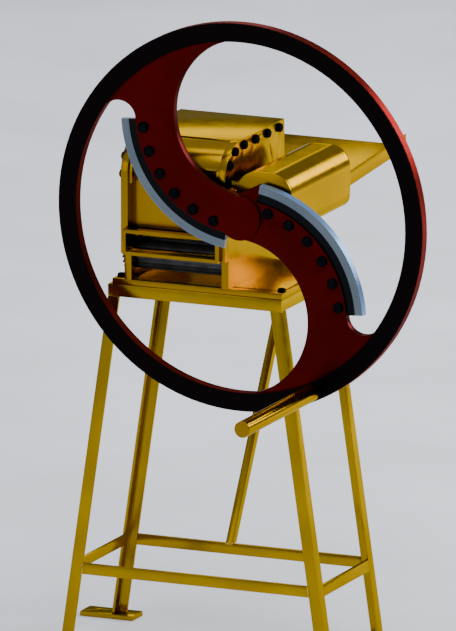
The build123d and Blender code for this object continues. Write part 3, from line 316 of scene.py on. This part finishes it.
# Turned and oiled shaft steel: grey, with a tight but uneven gloss.
TURNED_STEEL = Finish(
    "turned_steel", "8C8F93", "74777B", metallic=1.0, roughness=0.24, roughness_spread=0.12, patch_mm=20.0,
    grain_mm=0.5, relief_mm=0.03)
# Machined gunmetal for bushes and gears: a brown bronze that mirrors softly.
GUNMETAL = Finish(
    "machined_gunmetal", "A67C3F", "8E6732", metallic=1.0, roughness=0.26, roughness_spread=0.12,
    patch_mm=20.0, grain_mm=0.5, relief_mm=0.03)
# Fettled grey iron: dark, matt and visibly grainy.
GREY_IRON = Finish(
    "fettled_grey_iron", "4B4C4E", "38393B", metallic=0.7, roughness=0.48, roughness_spread=0.15,
    patch_mm=25.0, grain_mm=1.4, relief_mm=0.20)
# Weld bead under the lacquer: the same gold, painted a little brighter as a painted highlight for the light
# its rounded scales catch.
WELD_LACQUER = Finish(
    "gold_lacquer_on_weld", "B99C22", "9A801C", metallic=0.85, roughness=0.22, roughness_spread=0.12,
    patch_mm=9.0, grain_mm=1.0, relief_mm=0.03, coat=0.3, coat_roughness=0.1)
# Pale matt floor paint, with patches so broad that they only keep it from looking flat.
FLOOR_PAINT = Finish(
    "pale_floor_paint", "ECEEF6", "DFE1E8", metallic=0.0, roughness=0.75, roughness_spread=0.1,
    patch_mm=900.0, grain_mm=8.0, relief_mm=0.02)


# --- Mesh work ---------------------------------------------------------------------------------------------
def shade(mesh: bpy.types.Mesh, angle: float = HARD_ANGLE) -> None:
    """Shades smooth, with hard edges where faces meet at more than an angle.

    Args:
        mesh: The mesh.
        angle: The least angle of a hard edge.
    """
    mesh.shade_smooth()
    work = bmesh.new()
    work.from_mesh(mesh)
    for edge in work.edges:
        edge.smooth = not (edge.is_manifold and edge.calc_face_angle() > angle)
    work.to_mesh(mesh)
    work.free()


def piece(name: str, work: bmesh.types.BMesh, material: bpy.types.Material, body: str) -> bpy.types.Object:
    """Makes an object of a finished mesh, dresses it and sets it riding.

    Args:
        name: The piece's name.
        work: The mesh, which is freed.
        material: Its finish.
        body: The body it rides on.

    Returns:
        The new object.
    """
    mesh = bpy.data.meshes.new(name)
    work.to_mesh(mesh)
    work.free()
    shade(mesh)
    made = bpy.data.objects.new(name, mesh)
    bpy.context.scene.collection.objects.link(made)
    mesh.materials.append(material)
    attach(made, body)
    LOG.info("%s: %d faces on %s", name, len(mesh.polygons), body)
    return made


def loose_boxes(source: bpy.types.Object) -> list[tuple[Vector, Vector]]:
    """Finds the box of each separate solid in a node.

    Args:
        source: The node's object.

    Returns:
        Lowest and highest corner of each solid.
    """
    work = bmesh.new()
    work.from_mesh(source.data)
    bmesh.ops.remove_doubles(work, verts=work.verts, dist=MERGE)
    left = set(work.verts)
    boxes = []
    while left:
        stack = [left.pop()]
        group = []
        while stack:
            vert = stack.pop()
            group.append(vert.co.copy())
            for edge in vert.link_edges:
                other = edge.other_vert(vert)
                if other in left:
                    left.remove(other)
                    stack.append(other)
        low = Vector(min(c[k] for c in group) for k in range(3))
        high = Vector(max(c[k] for c in group) for k in range(3))
        boxes.append((low, high))
    work.free()
    return sorted(boxes, key=lambda pair: tuple(round(v, 5) for v in pair[0] + pair[1]))


def facing(side: Side) -> Matrix:
    """The rotation that turns +Z to a side."""
    return Vector(side.value).to_track_quat("Z", "Y").to_matrix().to_4x4()


def add_lathe(work: bmesh.types.BMesh, profile: Sequence[tuple[float, float]], place: Matrix,
              steps: int = 32) -> None:
    """Adds a closed turned form.

    Args:
        work: The mesh to add to.
        profile: Radius and height of each point, starting and ending on the axis.
        place: Where it goes, its axis along local Z.
        steps: Points round the axis.
    """
    rings = []
    for radius, height in profile:
        if radius <= 0:
            rings.append([work.verts.new(place @ Vector((0, 0, height)))])
            continue
        turns = [2 * math.pi * step / steps for step in range(steps)]
        rings.append([work.verts.new(place @ Vector((radius * math.cos(t), radius * math.sin(t), height)))
                      for t in turns])
    for low, high in zip(rings, rings[1:]):
        for step in range(steps):
            after = (step + 1) % steps
            below = [low[step % len(low)], low[after % len(low)]]
            above = [high[after % len(high)], high[step % len(high)]]
            work.faces.new(list(dict.fromkeys(below + above)))


def add_hex_head(work: bmesh.types.BMesh, place: Matrix, across: float, height: float) -> None:
    """Adds a hexagon head with its chamfered crown and washer face.

    Args:
        work: The mesh to add to.
        place: The seat's centre, its axis along local Z.
        across: Width across flats.
        height: Head height.
    """
    steps = 48
    corner = across / math.sqrt(3)
    flat = across / 2
    rings = []
    # Each ring's share of the height, and the radius that trims the hexagon there: washer face, flats, crown.
    for level, limit in ((0.0, 0.95 * flat), (0.06, 0.97 * flat), (0.08, 1.1 * corner), (0.74, 1.1 * corner),
                         (0.80, 1.0 * corner), (0.90, 0.975 * flat), (1.0, 0.86 * flat)):
        ring = []
        for step in range(steps):
            turn = 2 * math.pi * step / steps
            from_flat = (turn + math.pi / 6) % (math.pi / 3) - math.pi / 6
            edge = flat / math.cos(from_flat)
            slope = 0.32 * max(edge - flat, 0.0) if level > 0.7 and limit > flat else 0.0
            reach = min(edge, limit)
            high = height * level - slope
            point = Vector((reach * math.cos(turn), reach * math.sin(turn), high))
            ring.append(work.verts.new(place @ point))
        rings.append(ring)
    for low, high in zip(rings, rings[1:]):
        for step in range(steps):
            after = (step + 1) % steps
            work.faces.new((low[step], low[after], high[after], high[step]))
    work.faces.new(rings[-1])
    work.faces.new(list(reversed(rings[0])))


def add_bead(work: bmesh.types.BMesh, start: Vector, end: Vector, width: float,
             ripple: float = 3.2 * MM) -> None:
    """Adds one weld run between two points: a rounded bead with overlapping scales.

    Args:
        work: The mesh to add to.
        start: Where the run starts.
        end: Where it ends.
        width: The bead's width.
        ripple: Distance from scale to scale.
    """
    along = end - start
    length = along.length
    turn = along.to_track_quat("Z", "Y").to_matrix()
    scales = max(2, round(length / ripple))
    per_scale, steps = 4, 10
    rings = []
    total = scales * per_scale
    for index in range(total + 1):
        part = index / total
        phase = (index % per_scale) / per_scale
        swell = 0.5 * width * (0.86 + 0.14 * math.sin(math.pi * (1 - phase)))
        at_start, at_end = max(0.02, 2 * part * scales), max(0.02, 2 * (1 - part) * scales)
        end_fade = min(1.0, math.sqrt(at_start), math.sqrt(at_end))
        sway = 0.06 * width * math.sin(index * 1.7)
        ring = []
        for step in range(steps):
            angle = 2 * math.pi * step / steps
            reach = swell * end_fade
            offset = Vector((reach * math.cos(angle) + sway, reach * math.sin(angle), 0))
            ring.append(work.verts.new(start + turn @ offset + along * part))
        rings.append(ring)
    for low, high in zip(rings, rings[1:]):
        for step in range(steps):
            after = (step + 1) % steps
            work.faces.new((low[step], low[after], high[after], high[step]))
    work.faces.new(list(reversed(rings[0])))
    work.faces.new(rings[-1])


# --- Shared build ------------------------------------------------------------------------------------------
@dataclass
class Bench:
    """What each sub-assembly works with: the frame's nodes, their bodies and slots, and the finishes."""

    nodes: dict[str, bpy.types.Object]
    body_of: dict[str, str]
    slot_of: dict[str, str]
    materials: dict[str, bpy.types.Material] = field(default_factory=dict)

    def finish(self, finish: Finish) -> bpy.types.Material:
        """Builds a finish the first time it is asked for.

        Args:
            finish: The finish.

        Returns:
            Its material.
        """
        if finish.name not in self.materials:
            self.materials[finish.name] = finish.material()
        return self.materials[finish.name]

    def dress(self, names: Iterable[str], finish: Finish) -> None:
        """Gives CAD nodes a finish.

        Args:
            names: The nodes.
            finish: Their finish.
        """
        for name in names:
            data = self.nodes[name].data
            data.materials.clear()
            data.materials.append(self.finish(finish))

    def ease(self, name: str, width_mm: float, finish: Finish) -> bpy.types.Object:
        """Replaces a node with a copy whose sharp edges are rounded.

        Args:
            name: The node.
            width_mm: How far the rounding reaches from the edge.
            finish: The copy's finish.

        Returns:
            The new piece.
        """
        work = bmesh.new()
        work.from_mesh(self.nodes[name].data)
        bmesh.ops.remove_doubles(work, verts=work.verts, dist=MERGE)
        bmesh.ops.dissolve_limit(work, angle_limit=FLAT_ANGLE, verts=work.verts, edges=work.edges,
                                 delimit={"NORMAL"})
        sharp = [e for e in work.edges if e.is_manifold and e.calc_face_angle() > SHARP_ANGLE]
        bmesh.ops.bevel(work, geom=sharp, offset=width_mm * MM, segments=2, profile=0.6, affect="EDGES",
                        clamp_overlap=True, harden_normals=False)
        bmesh.ops.triangulate(work, faces=[f for f in work.faces if len(f.verts) > 4])
        made = piece(f"{name}_finished", work, self.finish(finish), self.body_of[name])
        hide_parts(name)
        return made

    def bolts(self, name: str, side_of: Callable[[Vector, Vector], Side], across: float, height: float,
              finish: Finish) -> bpy.types.Object:
        """Replaces a group of plain bolts with chamfered hexagon heads on washers, and their shanks.

        Args:
            name: The node that holds the group.
            side_of: Gives the side that a bolt's head faces, from its box.
            across: Head width across flats.
            height: Head height.
            finish: The bolts' finish.

        Returns:
            The new piece.
        """
        work = bmesh.new()
        for low, high in loose_boxes(self.nodes[name]):
            side = side_of(low, high)
            out = Vector(side.value)
            middle = (low + high) / 2
            reach = max(out.dot(low), out.dot(high))
            crown = middle + out * (reach - out.dot(middle))
            length = abs(out.dot(high - low)) - height
            seat = Matrix.Translation(crown - out * height) @ facing(side)
            add_hex_head(work, seat, across, height)
            washer, thick = across * 0.62, 0.17 * height
            add_lathe(work, [(0, 0), (washer * 0.96, 0), (washer, thick * 0.3), (washer, thick * 0.8),
                             (washer * 0.97, thick), (0, thick)], seat)
            shank = across * 0.31
            add_lathe(work, [(0, -length), (shank * 0.85, -length), (shank, -length + shank * 0.15),
                             (shank, 0), (0, 0)], seat, 20)
        made = piece(f"{name}_finished", work, self.finish(finish), self.body_of[name])
        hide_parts(name)
        return made


# --- The stand ---------------------------------------------------------------------------------------------
@dataclass
class Stand:
    """Splayed angle legs, the top frame, the lower rails, the foot plates and the tray's strut."""

    bench: Bench
    edge_mm: float = 1.4
    bead_mm: float = 6.0
    flange_mm: float = 30.0
    legs: tuple[str, ...] = ("leg_front_left", "leg_front_right", "leg_rear_left", "leg_rear_right")
    bars: tuple[str, ...] = (
        "top_frame", "rail_front", "rail_rear", "side_rails", "tray_strut", "foot_plates")

    def build(self) -> None:
        """Rounds the bars' edges and runs the welds."""
        for name in self.legs + self.bars:
            self.bench.ease(name, self.edge_mm, STAND_LACQUER)
        self.foot_welds()
        self.rail_welds()

    def bead_piece(self, name: str, runs: Iterable[tuple[Vector, Vector]]) -> None:
        """Makes one piece of several weld runs.

        Args:
            name: The piece's name.
            runs: Each run's ends.
        """
        work = bmesh.new()
        for start, end in runs:
            add_bead(work, start, end, self.bead_mm * MM)
        piece(name, work, self.bench.finish(WELD_LACQUER), self.bench.body_of["top_frame"])

    def foot_welds(self) -> None:
        """Welds each leg to its foot plate, along the outside of both flanges."""
        runs = []
        flange = self.flange_mm * MM
        for name in self.legs:
            low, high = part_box(name)
            side = 1 if high.x > 0 else -1
            corner_x = high.x if side > 0 else low.x
            corner_y = low.y if low.y < 0 else high.y
            inward = 1 if low.y < 0 else -1
            corner = Vector((corner_x, corner_y, low.z))
            runs.append((corner, corner + Vector((-side * flange, 0, 0))))
            runs.append((corner, corner + Vector((0, inward * flange, 0))))
        self.bead_piece("foot_plate_welds", runs)

    def rail_welds(self) -> None:
        """Welds the front and rear rails to the legs, down each end."""
        runs = []
        for name in ("rail_front", "rail_rear"):
            low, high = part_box(name)
            face_y = low.y if low.y < 0 else high.y
            slope = (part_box("leg_front_right")[1].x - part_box("top_frame")[1].x) / (
                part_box("top_frame")[0].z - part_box("foot_plates")[1].z)
            rise = high.z - low.z
            for side in (-1, 1):
                foot = Vector((side * high.x, face_y, low.z))
                runs.append((foot, foot + Vector((-side * slope * rise, 0, rise))))
        low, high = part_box("tray_strut")
        runs.append((Vector((low.x, low.y, low.z)), Vector((high.x, low.y, low.z))))
        self.bead_piece("rail_welds", runs)


# --- The head ----------------------------------------------------------------------------------------------
@dataclass
class FeedHead:
    """The base plate, the side plates with their bolted cover, the mouth, and the feed rollers inside."""

    bench: Bench
    plate_edge_mm: float = 2.0
    sheet_edge_mm: float = 0.9
    bolt_across_mm: float = 19.0
    bolt_height_mm: float = 8.0
    base_across_mm: float = 17.0
    base_height_mm: float = 7.0
    bracket_across_mm: float = 13.0
    bracket_height_mm: float = 5.5

    def build(self) -> None:
        """Dresses every piece of the head."""
        bench = self.bench
        for name in ("base_plate", "side_plate_left", "side_plate_right"):
            bench.ease(name, self.plate_edge_mm, GOLD_LACQUER)
        for name in ("top_cover", "mouth_frame", "rear_panel", "inlet_floor", "throat_plates"):
            bench.ease(name, self.sheet_edge_mm, GOLD_LACQUER)
        bench.dress(("front_apron", "cover_flange_left", "cover_flange_right"), GOLD_LACQUER)
        middle_x = (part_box("side_plate_left")[0].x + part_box("side_plate_right")[1].x) / 2

        def outward(low: Vector, high: Vector) -> Side:
            """Cover bolts face away from the head's middle."""
            return Side.RIGHT if low.x + high.x > 2 * middle_x else Side.LEFT

        bench.bolts("cover_bolts", outward, self.bolt_across_mm * MM, self.bolt_height_mm * MM, BLACK_OXIDE)
        bench.bolts("base_bolts", lambda low, high: Side.UP, self.base_across_mm * MM,
                    self.base_height_mm * MM, BLACK_OXIDE)
        bench.bolts("bracket_bolts", lambda low, high: Side.LEFT, self.bracket_across_mm * MM,
                    self.bracket_height_mm * MM, BLACK_OXIDE)
        for name in ("upper_roller", "lower_roller"):
            bench.ease(name, SMALL_EDGE_MM, GREY_IRON)
            bench.dress((f"{name}_gear",), GREY_IRON)
            bench.dress((f"{name}_shaft",), TURNED_STEEL)
        bench.dress(("cross_shaft",), TURNED_STEEL)
        bench.dress(("side_plate_bushes", "drive_pinion", "worm_wheel"), GUNMETAL)


@dataclass
class FeedTray:
    """The flared tray behind the head, and the welds along its walls."""

    bench: Bench
    edge_mm: float = 1.0
    bead_mm: float = 4.0
    ripple_mm: float = 2.6
    rise_mm: float = 82.0
    wall_mm: float = 3.0
    end_gap_mm: float = 4.0

    def build(self) -> None:
        """Rounds the sheet's edges and welds the walls to the floor."""
        for name in ("tray_floor", "tray_wall_left", "tray_wall_right"):
            self.bench.ease(name, self.edge_mm, GOLD_LACQUER)
        floor_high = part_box("tray_floor")[1]
        work = bmesh.new()
        wall, gap = self.wall_mm * MM, self.end_gap_mm * MM
        near_z = floor_high.z - self.rise_mm * MM
        for side, name in ((-1, "tray_wall_left"), (1, "tray_wall_right")):
            low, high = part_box(name)
            inner_far = high.x - wall if side > 0 else low.x + wall
            inner_near = low.x if side > 0 else high.x
            start = Vector((inner_near, low.y + gap, near_z))
            end = Vector((inner_far, high.y - gap, floor_high.z))
            add_bead(work, start, end, self.bead_mm * MM, self.ripple_mm * MM)
        body = self.bench.body_of["tray_floor"]
        piece("tray_welds", work, self.bench.finish(WELD_LACQUER), body)


@dataclass
class GearCase:
    """The arched case over the worm drive, with its end walls, brackets and bearings."""

    bench: Bench
    edge_mm: float = 2.5

    def build(self) -> None:
        """Dresses the case and what is in it."""
        bench = self.bench
        for name in ("gear_case_front", "gear_case_rear"):
            bench.ease(name, self.edge_mm, GOLD_LACQUER)
        bench.dress(("gear_case_shell",), GOLD_LACQUER)
        bench.ease("gear_case_brackets", SMALL_EDGE_MM, GOLD_LACQUER)
        bench.dress(("main_shaft_bushes",), GUNMETAL)
        bench.dress(("gear_case_screws",), BLACK_OXIDE)
        bench.dress(("main_shaft", "drive_worm"), TURNED_STEEL)


# --- The flywheel ------------------------------------------------------------------------------------------
@dataclass
class Flywheel:
    """The rim, the S-shaped arms, the curved blades with their bolts, and what fixes the hub."""

    bench: Bench
    arm_edge_mm: float = 2.5
    bolt_across_mm: float = 22.0
    bolt_height_mm: float = 9.0
    arc_x_mm: float = 4.0
    arc_z_mm: float = 235.3
    web_front_mm: float = 7.0
    web_rim_mm: float = 4.0
    web_back_mm: float = 27.0
    web_edge_mm: float = 1.6
    web_top: tuple[tuple[float, float], ...] = ((-20.0, 50.0), (46.5, 84.0))  # left and right, from the shaft
    web_low: tuple[tuple[float, float], ...] = ((-4.0, 46.0), (39.5, 36.0))

    def build(self) -> None:
        """Dresses the wheel."""
        bench = self.bench
        rim_low, rim_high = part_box("flywheel_rim")
        # Brushed enamel on a turned rim, black on the front face. Its red is browner and lighter than the
        # arms': painted light, standing in for the light that falls on the rim's right-hand side.
        bench.dress(("flywheel_rim",), RimFinish(
            "rim_enamel", "7A2410", "6A1D0C", metallic=0.85, roughness=0.30, roughness_spread=0.08,
            patch_mm=140.0, grain_mm=5.0, relief_mm=0.04, coat=0.0, coat_roughness=0.1, edge="A04A38",
            front_y=rim_low.y))
        bench.ease("flywheel_arms", self.arm_edge_mm, RED_ENAMEL)
        middle = (rim_low + rim_high) / 2
        for number, turn in ((1, 1), (2, -1)):
            # Ground tool steel: a fine satin grey, banded about the middle of each blade's own arc; the
            # outermost band is a painted pale blue reflection.
            bench.dress((f"blade_{number}",), BladeFinish(
                f"ground_tool_steel_{number}", "66727A", "5E6A72", metallic=0.9, roughness=0.26,
                roughness_spread=0.05, patch_mm=90.0, grain_mm=30.0, relief_mm=0.005,
                centre_x=middle.x + turn * self.arc_x_mm * MM, centre_z=middle.z + turn * self.arc_z_mm * MM))
            bench.bolts(f"blade_bolts_{number}", lambda low, high: Side.FRONT, self.bolt_across_mm * MM,
                        self.bolt_height_mm * MM, BLACK_OXIDE)
        bench.dress(("hub_key", "hub_set_screw"), BLACK_OXIDE)
        self.hub_web()

    def hub_web(self) -> None:
        """Adds the cast web that ramps up from the hub to the second blade's inner end."""
        rim_low, rim_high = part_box("flywheel_rim")
        centre = Vector(((rim_low.x + rim_high.x) / 2, rim_low.y, (rim_low.z + rim_high.z) / 2))
        front, back = self.web_front_mm, self.web_back_mm
        ramp_back = back - self.web_rim_mm
        (top_left, top_right), (low_left, low_right) = self.web_top, self.web_low
        work = bmesh.new()
        ahead = [work.verts.new(centre + Vector((x, y, z)) * MM) for (x, z), y in (
            (low_left, front), (low_right, front), (top_right, ramp_back), (top_left, ramp_back))]
        behind = [work.verts.new(centre + Vector((x, back, z)) * MM) for x, z in (
            low_left, low_right, top_right, top_left)]
        work.faces.new(ahead)
        work.faces.new(list(reversed(behind)))
        for index in range(4):
            after = (index + 1) % 4
            work.faces.new((ahead[after], ahead[index], behind[index], behind[after]))
        bmesh.ops.recalc_face_normals(work, faces=work.faces)
        bmesh.ops.bevel(work, geom=work.edges[:], offset=self.web_edge_mm * MM, segments=3, profile=0.6,
                        affect="EDGES", clamp_overlap=True)
        body = self.bench.body_of["flywheel_arms"]
        piece("hub_web", work, self.bench.finish(RED_ENAMEL), body)


@dataclass
class CrankHandle:
    """The crank's grip on its spindle, with the collar ahead of the rim and the nut behind it."""

    bench: Bench

    def build(self) -> None:
        """Dresses the handle."""
        bench = self.bench
        bench.dress(("handle_grip", "grip_end_cap"), GOLD_LACQUER)
        bench.dress(("grip_bushes",), GUNMETAL)
        bench.dress(("handle_spindle",), TURNED_STEEL)
        bench.ease("handle_collar", SMALL_EDGE_MM, BLACK_OXIDE)
        bench.ease("spindle_nut", SMALL_EDGE_MM, BLACK_OXIDE)


# --- The studio --------------------------------------------------------------------------------------------
@dataclass
class Studio:
    """A pale floor, soft panels of light and a long-lens camera."""

    floor_size: float = 60.0
    azimuth: float = math.radians(23.57)
    elevation: float = math.radians(12.99)
    lens_mm: float = 1000.0
    sensor_mm: float = 36.0
    px_per_mm: float = 0.4181
    aim_left: float = 27.7 * MM
    aim_down: float = 233.0 * MM
    clip_m: tuple[float, float] = (1.0, 200.0)
    world_strength: float = 0.9
    sun_strength: float = 1.5
    sun_angle: float = math.radians(40)
    sun_from: tuple[float, float, float] = (0.8, -0.25, 1.0)

    def build(self) -> None:
        """Sets the floor, the light and the camera."""
        self.floor()
        self.world()
        # The rear panel lights the patch of floor that the right-hand faces mirror. The tray panel is what
        # the tray's sloping floor mirrors.
        self.panel("key_panel", (5.0, 0.5, 2.6), (0, 0, 0.9), 3.0, 60.0)
        self.panel("rear_panel_light", (4.2, 6.5, 3.4), (2.4, 4.8, 0.0), 3.4, 420.0)
        self.panel("tray_panel", (-2.4, 5.3, 3.8), (-0.05, 0.48, 1.05), 1.6, 26.0)
        self.panel("front_panel", (-2.2, -5.2, 2.4), (0, 0, 0.9), 2.6, 30.0)
        self.panel("top_panel", (0.3, -0.8, 5.0), (0, 0, 0.6), 3.0, 70.0)
        self.sun()
        self.camera()

    def floor(self) -> None:
        """Lays the floor, with a faintly uneven painted surface."""
        work = bmesh.new()
        bmesh.ops.create_grid(work, x_segments=2, y_segments=2, size=self.floor_size / 2)
        mesh = bpy.data.meshes.new("studio_floor")
        work.to_mesh(mesh)
        work.free()
        made = bpy.data.objects.new("studio_floor", mesh)
        bpy.context.scene.collection.objects.link(made)
        mesh.materials.append(FLOOR_PAINT.material())

    def world(self) -> None:
        """Lights from all round: a pale horizon, a dark band above it, and brighter again overhead."""
        world = bpy.data.worlds.new("studio")
        bpy.context.scene.world = world
        world.use_nodes = True
        tree = world.node_tree
        way = add(tree, "ShaderNodeTexCoord").outputs["Generated"]
        height = add(tree, "ShaderNodeSeparateXYZ", links={0: way}).outputs["Z"]
        stops = ((0.0, "A0A6B0"), (0.16, "33353A"), (0.45, "B4B9C2"), (0.75, "E8ECF2"))
        colour = ramp(tree, height, [(place, linear(shown)) for place, shown in stops])
        tree.links.new(colour, tree.nodes["Background"].inputs["Color"])
        tree.nodes["Background"].inputs["Strength"].default_value = self.world_strength

    def panel(self, name: str, place: Sequence[float], target: Sequence[float], size: float,
              power: float) -> None:
        """Hangs one square panel of soft light.

        Args:
            name: Its name.
            place: Its middle.
            target: What it faces.
            size: Its side.
            power: Its power in watts.
        """
        data = bpy.data.lights.new(name, "AREA")
        data.shape = "SQUARE"
        data.size = size
        data.energy = power
        made = bpy.data.objects.new(name, data)
        bpy.context.scene.collection.objects.link(made)
        made.location = place
        made.rotation_euler = (Vector(target) - Vector(place)).to_track_quat("-Z", "Y").to_euler()

    def sun(self) -> None:
        """Adds a broad, soft light from the right that evens out the floor."""
        data = bpy.data.lights.new("soft_sky", "SUN")
        data.energy = self.sun_strength
        data.angle = self.sun_angle
        made = bpy.data.objects.new("soft_sky", data)
        bpy.context.scene.collection.objects.link(made)
        made.rotation_euler = Vector(self.sun_from).to_track_quat("Z", "Y").to_euler()

    def camera(self) -> None:
        """Stands a long-lens camera to the front right, a little above the wheel's shaft."""
        rim_low, rim_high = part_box("flywheel_rim")
        centre = Vector(((rim_low.x + rim_high.x) / 2, rim_low.y, (rim_low.z + rim_high.z) / 2))
        back = Vector((math.sin(self.azimuth) * math.cos(self.elevation),
                       -math.cos(self.azimuth) * math.cos(self.elevation), math.sin(self.elevation)))
        right = Vector((math.cos(self.azimuth), math.sin(self.azimuth), 0))
        up = back.cross(right)
        distance = self.lens_mm / self.sensor_mm * IMAGE_HEIGHT_PX / self.px_per_mm * MM
        aim = centre - right * self.aim_left - up * self.aim_down
        data = bpy.data.cameras.new("camera")
        data.lens = self.lens_mm
        data.sensor_width = self.sensor_mm
        data.clip_start, data.clip_end = self.clip_m
        made = bpy.data.objects.new("camera", data)
        bpy.context.scene.collection.objects.link(made)
        made.location = aim + back * distance
        made.rotation_euler = back.to_track_quat("Z", "Y").to_euler()
        bpy.context.scene.camera = made


def main() -> None:
    """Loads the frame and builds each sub-assembly in order."""
    logging.basicConfig(level=logging.INFO, format="%(name)s: %(message)s")
    bpy.ops.object.select_all(action="SELECT")
    bpy.ops.object.delete()
    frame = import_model()
    bodies = frame["record"]["behaviour"]["bodies"]
    bench = Bench(
        nodes=frame["nodes"],
        body_of={node: body for body, members in bodies.items() for node in members},
        slot_of={part["node"]: part["material_slot"] for part in frame["record"]["subparts"]},
    )
    for assembly in (Stand(bench), FeedHead(bench), FeedTray(bench), GearCase(bench), Flywheel(bench),
                     CrankHandle(bench), Studio()):
        assembly.build()
        LOG.info("built %s", type(assembly).__name__)


if __name__ == "__main__":
    main()
